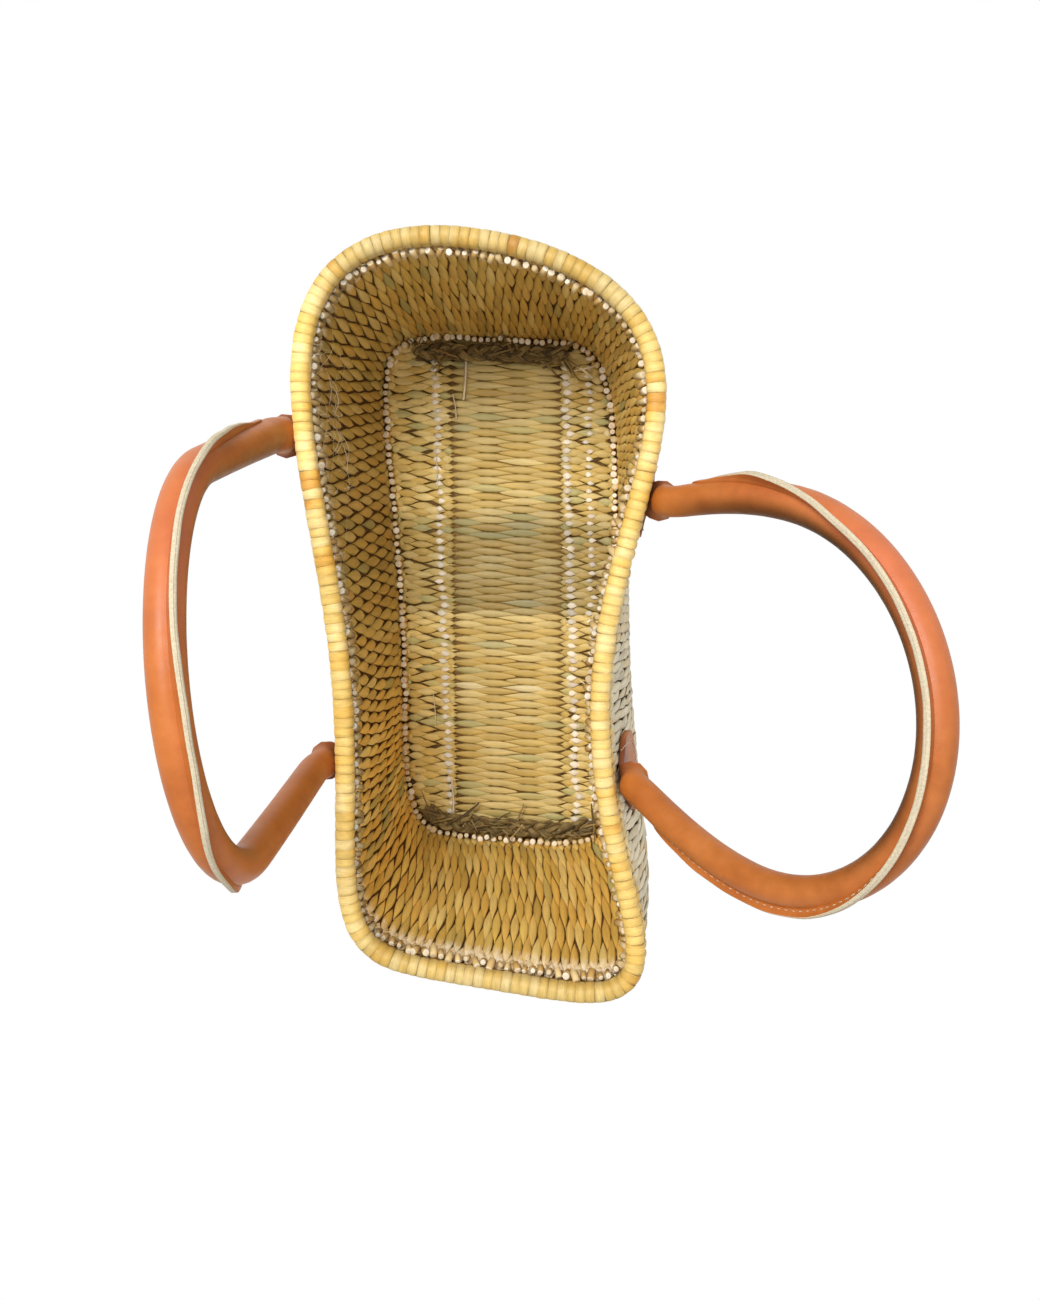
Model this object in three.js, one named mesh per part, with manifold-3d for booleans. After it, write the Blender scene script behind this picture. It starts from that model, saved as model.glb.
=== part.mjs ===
// Basket tote: an open-topped basket of woven reeds with a straw-wound rim and two rolled leather handles.
// Millimetres, +Z up, +Y towards the far end, origin at the middle of the floor's underside.
import * as THREE from 'three';
import { mergeVertices } from 'three/addons/utils/BufferGeometryUtils.js';
import Module from 'manifold-3d';

const wasm = await Module();
wasm.setup();

// Basket sizes
const basketHeight = 197;
const wallThickness = 6;
const floorThickness = 5;
const lapThickness = 6.2;
const matLeftEdge = -34;
const matRightEdge = 36;
const footSetIn = 2;
const footHeight = 5;
const stubDiameter = 4.6;
const fitGap = 0.3;

// Wefts hidden in the wall, which stands out over each one
const weftCount = 6;
const firstWeftHeight = 18;
const ribDepth = 0.8;

// Outlines in plan of the wall's middle surface at the floor, at half height and at the rim. Each has the
// half-lengths to both ends, the squareness of each end, the half-widths at three stations from far to near
// and the slant of the ends.
const floorLine = {
  far: 170, near: 172, farSquareness: 6, nearSquareness: 6,
  left: [86, 74, 75], right: [76, 78, 76], slant: 0.05,
};
const bellyLine = {
  far: 185, near: 190, farSquareness: 3.2, nearSquareness: 5,
  left: [100, 76, 81], right: [97, 81, 101], slant: 0.1,
};
const rimLine = {
  far: 195, near: 204, farSquareness: 2.15, nearSquareness: 5,
  left: [120, 73, 80], right: [129, 68, 98], slant: 0.15,
};
// The stations of the half-widths, as shares of the far and near half-lengths
const farStation = 0.7;
const waistStation = -0.3;
const nearStation = -0.85;

// Rim sizes
const rimWidth = 10.4;
const coreDiameter = 7.4;
const bindingSkirt = 8;
const wrapCount = 196;
const wrapLap = 0.35;

// Plaits of grass across both ends of the floor, from and to these places across the basket
const plaitWidth = 12;
const plaitHeight = 7.6;
const farPlaitSpan = [-60, 44];
const nearPlaitSpan = [-54, 58];

// Handle sizes
const sleeveDiameter = 16.6;
const boreDiameter = 12.6;
const ropeDiameter = 11.4;
const flangeWidth = 7;
const flangeThickness = 3.8;
const threadThickness = 0.8;
const seamGap = 0.6;
const seamInset = 4;
const axisReach = 15.6;
const axisDrop = 9;
const beadDiameter = 8;
const neckWidth = 22;
const neckGap = 0.9;
const webThickness = 3.4;
const tabWidth = 43;
const tabHeight = 52;
const tabThickness = 3.5;
const tabGap = 0.5;
const tabTopDrop = 17;
const tabStitchInset = 4;
const rightHandle = {
  side: 1, necks: [60, -98], lean: 43.6, reach: 176, halfWidth: 93, shoulder: 82, drift: 0.14, flangeTurn: 60,
};
const leftHandle = {
  side: -1, necks: [-86, 96], lean: 84, reach: 169, halfWidth: 93, shoulder: 103, drift: -0.22, flangeTurn: 48,
};

// Fineness of the round and curved pieces
const wrapsPerStation = 2;
const ringsPerWrap = 2;
const stationCount = wrapCount / wrapsPerStation;
const loopSteps = 25;
const arcSegments = 5;
const coreSides = 6;
const threadSteps = 18;
const stubSides = 4;

// Materials
const reed = new THREE.MeshStandardMaterial({ color: '#c9a050', roughness: 0.75, metalness: 0 });
const floorReed = new THREE.MeshStandardMaterial({ color: '#d8be80', roughness: 0.75, metalness: 0 });
const pith = new THREE.MeshStandardMaterial({ color: '#efe3cf', roughness: 0.9, metalness: 0 });
const straw = new THREE.MeshStandardMaterial({ color: '#f0d490', roughness: 0.55, metalness: 0 });
const grass = new THREE.MeshStandardMaterial({ color: '#6d6443', roughness: 0.9, metalness: 0 });
const leather = new THREE.MeshStandardMaterial({ color: '#c4743c', roughness: 0.5, metalness: 0 });
const rope = new THREE.MeshStandardMaterial({ color: '#cbb890', roughness: 0.9, metalness: 0 });
const thread = new THREE.MeshStandardMaterial({ color: '#ece4d2', roughness: 0.8, metalness: 0 });

// Outlines in plan

function throughStations(along, line, widths) {
  const places = [line.far * farStation, line.near * waistStation, line.near * nearStation];
  return widths.reduce((sum, width, i) => {
    const [a, b] = places.filter((_, j) => j !== i);
    return sum + width * (along - a) * (along - b) / ((places[i] - a) * (places[i] - b));
  }, 0);
}

function outlinePoint(line, angle) {
  const isFar = Math.sin(angle) > 0;
  const power = 2 / (isFar ? line.farSquareness : line.nearSquareness);
  const squared = (value) => Math.sign(value) * Math.abs(value) ** power;
  const along = squared(Math.sin(angle)) * (isFar ? line.far : line.near);
  const across = squared(Math.cos(angle));
  const x = across * throughStations(along, line, across > 0 ? line.right : line.left);
  return new THREE.Vector2(x, along - line.slant * x);
}

// An outline measured along its length: at(share) gives the point and the outward direction there
class MeasuredOutline {
  constructor(line, samples = 1440) {
    this.points = Array.from({ length: samples + 1 }, (_, i) => outlinePoint(line, 2 * Math.PI * i / samples));
    this.lengths = [0];
    for (let i = 1; i <= samples; i += 1) {
      this.lengths.push(this.lengths[i - 1] + this.points[i].distanceTo(this.points[i - 1]));
    }
    this.length = this.lengths[samples];
  }

  pointAt(share) {
    const along = (share - Math.floor(share)) * this.length;
    const next = Math.max(1, this.lengths.findIndex((length) => length >= along));
    const step = (along - this.lengths[next - 1]) / (this.lengths[next] - this.lengths[next - 1]);
    return this.points[next - 1].clone().lerp(this.points[next], step);
  }

  at(share) {
    const nearby = 4 / this.length;
    const forward = this.pointAt(share + nearby).sub(this.pointAt(share - nearby)).normalize();
    return { point: this.pointAt(share), outward: new THREE.Vector2(forward.y, -forward.x) };
  }

  // The share of the length at which one side of the outline reaches a place along the basket
  shareOf(side, y) {
    const shares = Array.from({ length: stationCount * 10 }, (_, i) => i / (stationCount * 10));
    const misses = shares.map((share) => {
      const point = this.pointAt(share);
      return point.x * side > 0 ? Math.abs(point.y - y) : Infinity;
    });
    return shares[misses.indexOf(Math.min(...misses))];
  }
}

const floorOutline = new MeasuredOutline(floorLine);
const bellyOutline = new MeasuredOutline(bellyLine);
const rimOutline = new MeasuredOutline(rimLine);
const rimCentreHeight = basketHeight - rimWidth / 2;
const wallTop = rimCentreHeight - coreDiameter / 2 - fitGap;
const stationShares = Array.from({ length: stationCount }, (_, i) => i / stationCount);
const stubSetIn = wallThickness / 2 + fitGap + stubDiameter / 2;
const floorStubHeight = lapThickness + fitGap + stubDiameter / 2;
// The row's corners stand out a little past the round ends, as its flats fall short of them
const stubRadius = 1.14 * stubDiameter / 2;

// A point at a share of the way round, a height, and a distance outside the wall's middle surface, which
// stands upright above the wall's top
function wallPoint(share, z, offset) {
  const t = Math.min(1, z / wallTop);
  const weights = [(1 - t) * (1 - 2 * t), 4 * t * (1 - t), t * (2 * t - 1)];
  const point = new THREE.Vector2();
  const outward = new THREE.Vector2();
  [floorOutline, bellyOutline, rimOutline].forEach((outline, i) => {
    const here = outline.at(share);
    point.addScaledVector(here.point, weights[i]);
    outward.addScaledVector(here.outward, weights[i]);
  });
  point.addScaledVector(outward.normalize(), offset);
  return new THREE.Vector3(point.x, point.y, z);
}

// A point of the rim's cross-section, out from and above the rim's centre line
function rimPoint(share, out, up) {
  return wallPoint(share, rimCentreHeight + up, out);
}

// Solids

function closedGeometry(points, triangles) {
  let volume = 0;
  const cross = new THREE.Vector3();
  for (const [a, b, c] of triangles) {
    volume += points[a].dot(cross.crossVectors(points[b], points[c]));
  }
  const facing = volume > 0 ? triangles : triangles.map(([a, b, c]) => [a, c, b]);
  const geometry = new THREE.BufferGeometry();
  geometry.setAttribute('position', new THREE.Float32BufferAttribute(points.flatMap((p) => p.toArray()), 3));
  geometry.setIndex(facing.flat());
  geometry.computeVertexNormals();
  return geometry;
}

// A ring-shaped body whose skin runs over closed lines, one after another. A line may have a whole number of
// times as many points as the next.
function ringBody(lines) {
  const points = [];
  const loops = lines.map((line) => line.map((point) => points.push(point) - 1));
  const triangles = [];
  loops.forEach((loop, i) => {
    const next = loops[(i + 1) % loops.length];
    const isFiner = loop.length >= next.length;
    const [fine, coarse] = isFiner ? [loop, next] : [next, loop];
    const ratio = fine.length / coarse.length;
    fine.forEach((here, j) => {
      const after = fine[(j + 1) % fine.length];
      const k = Math.floor(j / ratio);
      const beside = coarse[k];
      const isLast = j % ratio === ratio - 1;
      const pair = isLast ? [[here, after, beside], [after, coarse[(k + 1) % coarse.length], beside]]
        : [[here, after, beside]];
      triangles.push(...(isFiner ? pair : pair.map(([a, b, c]) => [a, c, b])));
    });
  });
  return closedGeometry(points, triangles);
}

function tubeRing(centre, radius, sides) {
  const corners = Array.from({ length: sides }, (_, i) => 2 * Math.PI * (i + 0.5) / sides);
  return ringBody(corners.map((angle) => stationShares.map(
    (share) => centre(share, radius * Math.cos(angle), radius * Math.sin(angle)),
  )));
}

function solidOf(geometry, matrix = new THREE.Matrix4()) {
  const bare = geometry.clone().applyMatrix4(matrix);
  bare.deleteAttribute('normal');
  bare.deleteAttribute('uv');
  const merged = mergeVertices(bare, 1e-4);
  return new wasm.Manifold(new wasm.Mesh({
    numProp: 3,
    vertProperties: new Float32Array(merged.attributes.position.array),
    triVerts: new Uint32Array(merged.index.array),
  }));
}

function geometryOf(solid) {
  const mesh = solid.getMesh();
  const geometry = new THREE.BufferGeometry();
  geometry.setAttribute('position', new THREE.BufferAttribute(new Float32Array(mesh.vertProperties), 3));
  geometry.setIndex(new THREE.BufferAttribute(new Uint32Array(mesh.triVerts), 1));
  geometry.computeVertexNormals();
  return geometry;
}

function piece(name, geometry, material) {
  const mesh = new THREE.Mesh(geometry, material);
  mesh.name = name;
  return mesh;
}

// A curve whose sections stand along a chosen direction
class SteeredCurve extends THREE.Curve {
  constructor(pointAtShare, steer) {
    super();
    this.pointAtShare = pointAtShare;
    this.steer = steer;
  }

  getPoint(t, target = new THREE.Vector3()) {
    return target.copy(this.pointAtShare(t));
  }

  computeFrenetFrames(steps) {
    const frames = { tangents: [], normals: [], binormals: [] };
    for (let i = 0; i <= steps; i += 1) {
      const tangent = this.getTangentAt(i / steps);
      const normal = this.steer(i / steps, tangent);
      normal.addScaledVector(tangent, -normal.dot(tangent)).normalize();
      frames.tangents.push(tangent);
      frames.normals.push(normal);
      frames.binormals.push(new THREE.Vector3().crossVectors(tangent, normal));
    }
    return frames;
  }
}

function extrudeAlong(shape, curve, steps) {
  return new THREE.ExtrudeGeometry(shape, {
    steps, curveSegments: arcSegments, bevelEnabled: false, extrudePath: curve,
  });
}

function circle(radius, Kind = THREE.Shape) {
  return new Kind().absarc(0, 0, radius, 0, 2 * Math.PI, false);
}

function rectangle(x, y, width, height) {
  const [left, right] = [x - width / 2, x + width / 2];
  const [low, high] = [y - height / 2, y + height / 2];
  return new THREE.Shape([[left, low], [right, low], [right, high], [left, high]]
    .map(([u, v]) => new THREE.Vector2(u, v)));
}

// Woven wall: outer face up from the foot, inner face down again, out over each weft and in between them
function makeWall() {
  const half = wallThickness / 2;
  const spacing = (wallTop - firstWeftHeight) / (weftCount + 0.22);
  const wefts = Array.from({ length: weftCount }, (_, i) => firstWeftHeight + i * spacing);
  const ribs = wefts.flatMap((z) => [[half, z], [half - ribDepth, z + spacing / 2]]);
  const outside = [[half - footSetIn, 0], [half, footHeight], ...ribs, [half, wallTop]];
  const inside = [[half, wallTop], ...ribs.slice(1).reverse(), [half, floorStubHeight], [half, 0]];
  const profile = [...outside, ...inside.map(([offset, z]) => [-offset, z])];
  return ringBody(profile.map(([offset, z]) => stationShares.map((share) => wallPoint(share, z, offset))));
}

// Floor: a middle mat between two side laps, all inside the wall
function makeFloorPlate(fromX, toX, thickness) {
  const edge = stationShares.map((share) => {
    const point = wallPoint(share, 0, -wallThickness / 2 - fitGap);
    return new THREE.Vector2(point.x, point.y);
  });
  const whole = new THREE.ExtrudeGeometry(new THREE.Shape(edge), { depth: thickness, bevelEnabled: false });
  const length = 2 * (floorLine.far + floorLine.near);
  const window = new THREE.BoxGeometry(toX - fromX, length, 4 * thickness);
  const placed = new THREE.Matrix4().makeTranslation((fromX + toX) / 2, 0, 0);
  return geometryOf(solidOf(whole).intersect(solidOf(window, placed)));
}

// Row of cut reed ends round the inside corner of the floor
function makeFloorStubs() {
  return tubeRing((share, out, up) => {
    const point = wallPoint(share, floorStubHeight, out - stubSetIn);
    return point.setZ(floorStubHeight + up);
  }, stubRadius, stubSides);
}

// Plait of grass lying along one end of the floor, beside the cut reed ends
function makePlait(isFar, [fromX, toX]) {
  const setIn = stubSetIn + stubDiameter / 2 + fitGap + plaitWidth / 2;
  const height = lapThickness + fitGap + plaitHeight / 2;
  const places = stationShares
    .map((share) => wallPoint(share, height, -setIn))
    .filter((point) => point.y > 0 === isFar && point.x > fromX && point.x < toX)
    .sort((a, b) => a.x - b.x);
  const line = new THREE.CatmullRomCurve3(places);
  const sideways = new THREE.Vector3(0, isFar ? 1 : -1, 0);
  const curve = new SteeredCurve((t) => line.getPoint(t), () => sideways.clone());
  const section = new THREE.Shape().absellipse(0, 0, plaitWidth / 2, plaitHeight / 2, 0, 2 * Math.PI, false);
  return extrudeAlong(section, curve, 14);
}

// Straw wound over the rim's core and down both sides of the wall's top. Each wrap laps the one before.
function makeBinding() {
  const outer = rimWidth / 2;
  const skirtGap = wallThickness / 2 + fitGap;
  const lip = (outer + skirtGap) / 2;
  const outside = [[lip, -bindingSkirt], [outer, 0], [outer / 2, outer * 0.87],
    [-outer / 2, outer * 0.87], [-outer, 0], [-lip, -bindingSkirt]];
  const corner = coreDiameter / 2 + fitGap / Math.cos(Math.PI / coreSides);
  const coreCorners = [210, 150, 90, 30, -30].map(THREE.MathUtils.degToRad);
  const inside = [[-skirtGap, -bindingSkirt],
    ...coreCorners.map((angle) => [corner * Math.cos(angle), corner * Math.sin(angle)]),
    [skirtGap, -bindingSkirt]];
  const wrapShare = 1 / wrapCount;
  const wrapEdges = Array.from({ length: wrapCount * ringsPerWrap }, (_, i) => {
    const isRaised = i % ringsPerWrap === 0;
    const wrap = Math.floor(i / ringsPerWrap);
    return { share: (wrap + (isRaised ? 0 : 0.88)) * wrapShare, lift: isRaised ? wrapLap : 0 };
  });
  const outerLines = outside.map(([out, up]) => {
    if (up === -bindingSkirt) return stationShares.map((share) => rimPoint(share, out, up));
    const size = Math.hypot(out, up);
    return wrapEdges.map(({ share, lift }) => {
      return rimPoint(share, out * (1 + lift / size), up * (1 + lift / size));
    });
  });
  const innerLines = inside.map(([out, up]) => stationShares.map((share) => rimPoint(share, out, up)));
  return ringBody([...outerLines, ...innerLines]);
}

// Row of cut reed ends just inside the rim
function makeRimStubs() {
  const setIn = rimWidth / 2 + wrapLap + fitGap + stubDiameter / 2;
  const drop = stubDiameter;
  return tubeRing((share, out, up) => rimPoint(share, out - setIn, up - drop), stubRadius, stubSides);
}

// Handles: each swings about the line through its two necks, and its own frame has x along that line, y from
// it towards the top of the loop, and z out of the loop's plane towards the basket's opening

function neckOf(handle, y) {
  const share = rimOutline.shareOf(handle.side, y);
  return { share, point: rimPoint(share, axisReach, rimWidth / 2 - axisDrop) };
}

function handleFrame(handle) {
  const [first, second] = handle.necks.map((y) => neckOf(handle, y).point);
  const along = second.clone().sub(first).normalize();
  const outward = new THREE.Vector3(-along.y, along.x, 0).normalize();
  const lean = THREE.MathUtils.degToRad(handle.lean);
  const towardsTop = outward.multiplyScalar(Math.cos(lean)).add(new THREE.Vector3(0, 0, Math.sin(lean)));
  const basis = new THREE.Matrix4().makeBasis(along, towardsTop, along.clone().cross(towardsTop));
  return { basis, span: first.distanceTo(second), middle: first.clone().lerp(second, 0.5) };
}

// The loop's centre line: two legs that bow out to the shoulders, joined by half an ellipse
function loopCurve(handle, span) {
  const legShare = 0.25;
  const flangeStart = 0.05;
  const flangeSettled = 0.28;
  const bow = handle.halfWidth - span / 2;
  const pointAtShare = (t) => {
    const fromEnd = Math.min(t, 1 - t);
    const side = t < 0.5 ? -1 : 1;
    const onLeg = fromEnd < legShare;
    const leg = fromEnd / legShare;
    const turn = (fromEnd - legShare) / (0.5 - legShare) * Math.PI / 2;
    const across = onLeg ? span / 2 + bow * Math.sin(leg * Math.PI / 2) : handle.halfWidth * Math.cos(turn);
    const up = onLeg ? handle.shoulder * leg
      : handle.shoulder + (handle.reach - handle.shoulder) * Math.sin(turn);
    return new THREE.Vector3(side * across + handle.drift * up, up, 0);
  };
  const flangeDirection = (u, tangent) => {
    const settled = THREE.MathUtils.smoothstep(Math.min(u, 1 - u), flangeStart, flangeSettled);
    const angle = THREE.MathUtils.degToRad(handle.flangeTurn) * settled;
    const outOfLoop = new THREE.Vector3(0, 0, 1).cross(tangent);
    return outOfLoop.multiplyScalar(Math.cos(angle)).add(new THREE.Vector3(0, 0, Math.sin(angle)));
  };
  return new SteeredCurve(pointAtShare, flangeDirection);
}

// Both ends are cut off level, clear of the beads that they turn about
function cutAtNecks(geometry, handle) {
  const reach = beadDiameter / 2 + neckGap;
  const waste = new THREE.BoxGeometry(4 * handle.halfWidth, 2 * reach + sleeveDiameter, 4 * sleeveDiameter);
  const placed = new THREE.Matrix4().makeTranslation(0, -sleeveDiameter / 2, 0);
  return geometryOf(solidOf(geometry).subtract(solidOf(waste, placed)));
}

function makeHandle(name, handle) {
  const { basis, span, middle } = handleFrame(handle);
  const curve = loopCurve(handle, span);
  const radius = sleeveDiameter / 2;
  const half = flangeThickness / 2;
  const rootAngle = Math.asin(half / radius);
  const strip = new THREE.Shape();
  strip.moveTo(radius + flangeWidth, -half);
  strip.lineTo(radius + flangeWidth, half);
  strip.absarc(0, 0, radius, rootAngle, 2 * Math.PI - rootAngle, false);
  strip.holes.push(circle(boreDiameter / 2, THREE.Path));
  const seam = rectangle(radius + flangeWidth - seamInset, half + seamGap + threadThickness / 2,
    threadThickness, threadThickness);
  const group = new THREE.Group();
  group.quaternion.setFromRotationMatrix(basis);
  group.position.copy(middle);
  const sections = [
    [`${name}_sleeve`, strip, leather],
    [`${name}_rope_core`, circle(ropeDiameter / 2), rope],
    [`${name}_seam_thread`, seam, thread],
  ];
  for (const [node, section, material] of sections) {
    group.add(piece(node, cutAtNecks(extrudeAlong(section, curve, loopSteps), handle), material));
  }
  return group;
}

// Leather tab sewn flat on the outside of the wall, with a web up to the bead that the handle turns about

function tabPoint(share, across, down, offset) {
  return wallPoint(share + across / rimOutline.length, basketHeight - tabTopDrop - down, offset);
}

function halfWidthOfTab(down) {
  const roundFrom = 0.72 * tabHeight;
  const past = Math.max(0, (down - roundFrom) / (tabHeight - roundFrom));
  return tabWidth / 2 * Math.sqrt(1 - 0.8 * past * past);
}

function makeTabPlate(share) {
  const columns = 5;
  const downs = [0, 0.25, 0.5, 0.72, 0.87, 0.96, 1].map((part) => part * tabHeight);
  const back = wallThickness / 2 + tabGap;
  const points = [];
  const grids = [back, back + tabThickness].map((offset) => downs.map((down) => {
    const half = halfWidthOfTab(down);
    return Array.from({ length: columns + 1 }, (_, i) => {
      const across = half * (2 * i / columns - 1);
      return points.push(tabPoint(share, across, down, offset)) - 1;
    });
  }));
  const triangles = [];
  const quad = (a, b, c, d) => triangles.push([a, b, c], [a, c, d]);
  const [inner, outer] = grids;
  const rows = downs.length - 1;
  for (let i = 0; i < rows; i += 1) {
    for (let j = 0; j < columns; j += 1) {
      quad(outer[i][j], outer[i + 1][j], outer[i + 1][j + 1], outer[i][j + 1]);
      quad(inner[i][j], inner[i][j + 1], inner[i + 1][j + 1], inner[i + 1][j]);
    }
    quad(inner[i][0], inner[i + 1][0], outer[i + 1][0], outer[i][0]);
    quad(outer[i][columns], outer[i + 1][columns], inner[i + 1][columns], inner[i][columns]);
  }
  for (let j = 0; j < columns; j += 1) {
    quad(outer[0][j], outer[0][j + 1], inner[0][j + 1], inner[0][j]);
    quad(inner[rows][j], inner[rows][j + 1], outer[rows][j + 1], outer[rows][j]);
  }
  return closedGeometry(points, triangles);
}

// Leather from the bead in to the head of the tab, turning from the bead's line to the wall's
function makeWeb(share, bead, along) {
  const middle = wallThickness / 2 + tabGap + tabThickness / 2;
  const inward = tabPoint(share, 0, webThickness / 2, middle).sub(bead);
  const above = along.clone().cross(inward).normalize().multiplyScalar(webThickness / 2);
  const points = [-1, 1].flatMap((end) => {
    const onBead = bead.clone().addScaledVector(along, -end * neckWidth / 2);
    const onTab = (down) => tabPoint(share, end * neckWidth / 2, down, middle);
    const heads = [onTab(0), onTab(webThickness)];
    const sides = [onBead.clone().add(above), onBead.clone().sub(above)].sort((a, b) => b.z - a.z);
    return [...sides, ...heads];
  });
  const faces = [[0, 2, 3, 1], [4, 5, 7, 6], [0, 4, 6, 2], [1, 3, 7, 5], [0, 1, 5, 4], [2, 6, 7, 3]];
  return closedGeometry(points, faces.flatMap(([a, b, c, d]) => [[a, b, c], [a, c, d]]));
}

function makeTab(handle, y) {
  const { share, point } = neckOf(handle, y);
  const { basis } = handleFrame(handle);
  const along = new THREE.Vector3().setFromMatrixColumn(basis, 0);
  const bead = new THREE.CylinderGeometry(beadDiameter / 2, beadDiameter / 2, neckWidth, 2 * arcSegments);
  const turned = new THREE.Quaternion().setFromUnitVectors(new THREE.Vector3(0, 1, 0), along);
  const beadPlace = new THREE.Matrix4().compose(point, turned, new THREE.Vector3(1, 1, 1));
  const web = solidOf(makeWeb(share, point, along));
  return geometryOf(solidOf(makeTabPlate(share)).add(web).add(solidOf(bead, beadPlace)));
}

// Stitching down one side of a tab, round its foot and up the other
function makeTabThread(handle, y) {
  const { share } = neckOf(handle, y);
  const lift = wallThickness / 2 + tabGap + tabThickness + seamGap + threadThickness;
  const side = [0.16, 0.45, 0.7].map((part) => part * tabHeight);
  const foot = tabHeight - tabStitchInset;
  const inset = (down) => halfWidthOfTab(down) - tabStitchInset;
  const places = [
    ...side.map((down) => [-inset(down), down]), [-0.7 * inset(foot), foot], [0, foot],
    [0.7 * inset(foot), foot], ...side.map((down) => [inset(down), down]).reverse(),
  ];
  const line = new THREE.CatmullRomCurve3(places.map(([across, down]) => tabPoint(share, across, down, lift)));
  return extrudeAlong(rectangle(0, 0, threadThickness, threadThickness), line, threadSteps);
}

// The whole basket

const basket = new THREE.Group();
basket.add(
  piece('wall', makeWall(), reed),
  piece('floor_mat', makeFloorPlate(matLeftEdge, matRightEdge, floorThickness), floorReed),
  piece('floor_lap_left', makeFloorPlate(-2 * rimLine.far, matLeftEdge - fitGap, lapThickness), floorReed),
  piece('floor_lap_right', makeFloorPlate(matRightEdge + fitGap, 2 * rimLine.far, lapThickness), floorReed),
  piece('floor_edge_stubs', makeFloorStubs(), pith),
  piece('far_end_plait', makePlait(true, farPlaitSpan), grass),
  piece('near_end_plait', makePlait(false, nearPlaitSpan), grass),
  piece('rim_core', tubeRing(rimPoint, coreDiameter / 2, coreSides), reed),
  piece('rim_binding', makeBinding(), straw),
  piece('rim_stubs', makeRimStubs(), pith),
  makeHandle('left', leftHandle),
  makeHandle('right', rightHandle),
);
const tabs = [
  ['left_far', leftHandle, 1], ['left_near', leftHandle, 0],
  ['right_far', rightHandle, 0], ['right_near', rightHandle, 1],
];
for (const [name, handle, end] of tabs) {
  basket.add(
    piece(`${name}_tab`, makeTab(handle, handle.necks[end]), leather),
    piece(`${name}_tab_thread`, makeTabThread(handle, handle.necks[end]), thread),
  );
}

export default basket;
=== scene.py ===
"""Basket tote: a woven reed basket with a straw-wound rim and rolled leather handles, dressed over its frame.

Lengths inside the functions are millimetres, in the frame's axes. They become metres where a mesh is made.
"""
import math

import bmesh
import bpy
import numpy as np
from bpy.props import FloatProperty, FloatVectorProperty, IntProperty, PointerProperty
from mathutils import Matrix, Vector


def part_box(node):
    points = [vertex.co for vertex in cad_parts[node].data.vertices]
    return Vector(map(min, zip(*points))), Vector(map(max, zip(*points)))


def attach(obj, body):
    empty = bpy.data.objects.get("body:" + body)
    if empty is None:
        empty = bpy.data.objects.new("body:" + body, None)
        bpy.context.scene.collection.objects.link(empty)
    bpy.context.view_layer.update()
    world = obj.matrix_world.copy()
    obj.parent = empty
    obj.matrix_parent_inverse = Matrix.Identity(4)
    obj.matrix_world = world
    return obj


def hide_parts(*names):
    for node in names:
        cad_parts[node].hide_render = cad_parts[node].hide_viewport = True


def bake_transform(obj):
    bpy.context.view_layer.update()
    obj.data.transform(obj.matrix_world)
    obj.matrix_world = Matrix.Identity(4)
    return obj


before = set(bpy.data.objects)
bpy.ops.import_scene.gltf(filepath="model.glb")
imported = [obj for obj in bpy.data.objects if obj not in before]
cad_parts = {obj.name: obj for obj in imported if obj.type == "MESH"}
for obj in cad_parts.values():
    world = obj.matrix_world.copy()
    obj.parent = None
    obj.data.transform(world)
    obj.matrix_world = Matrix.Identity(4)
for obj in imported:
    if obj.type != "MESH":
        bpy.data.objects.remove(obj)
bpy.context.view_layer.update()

bl_info = {
    "name": "Basket tote",
    "version": (1, 0, 0),
    "blender": (4, 5, 0),
    "location": "3D View > Sidebar > Basket",
    "description": "Builds the woven basket, its rim, floor and leather handles around the packed frame",
    "category": "Add Mesh",
}

METRES = 0.001


def box_mm(node):
    """Lowest and highest corner of a frame node, in millimetres."""
    return [np.array(corner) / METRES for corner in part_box(node)]


# Sizes that the frame gives

WALL_TOP = box_mm("wall")[1][2]
RIM_CENTRE = sum(corner[2] for corner in box_mm("rim_core")) / 2
MAT_TOP = box_mm("floor_mat")[1][2]
LAP_TOP = box_mm("floor_lap_left")[1][2]
MAT_EDGES = [corner[0] for corner in box_mm("floor_mat")]

# Sizes and outlines in plan that the frame's solids follow

WALL_THICKNESS = 6.0
RIM_WIDTH = 10.4
FIT_GAP = 0.3
STUB_DIAMETER = 4.6
BASKET_HEIGHT = RIM_CENTRE + RIM_WIDTH / 2
FLOOR_LINE = dict(far=170, near=172, far_square=6, near_square=6, left=(86, 74, 75), right=(76, 78, 76),
                  slant=0.05)
BELLY_LINE = dict(far=185, near=190, far_square=3.2, near_square=5, left=(100, 76, 81), right=(97, 81, 101),
                  slant=0.1)
RIM_LINE = dict(far=195, near=204, far_square=2.15, near_square=5, left=(120, 73, 80), right=(129, 68, 98),
                slant=0.15)
STATIONS = (0.7, -0.3, -0.85)
PLAIT_WIDTH = 12.0
PLAIT_HEIGHT = 7.6
PLAITS = (("far_plait", "far_end_plait", True, (-60, 44)), ("near_plait", "near_end_plait", False, (-54, 58)))
HINGE_REACH = 15.6
HINGE_DROP = 9.0
TAB_WIDTH = 43.0
TAB_HEIGHT = 52.0
TAB_THICKNESS = 3.5
TAB_GAP = 0.5
TAB_TOP_DROP = 17.0
TAB_MIDDLE = WALL_THICKNESS / 2 + TAB_GAP + TAB_THICKNESS / 2

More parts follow.
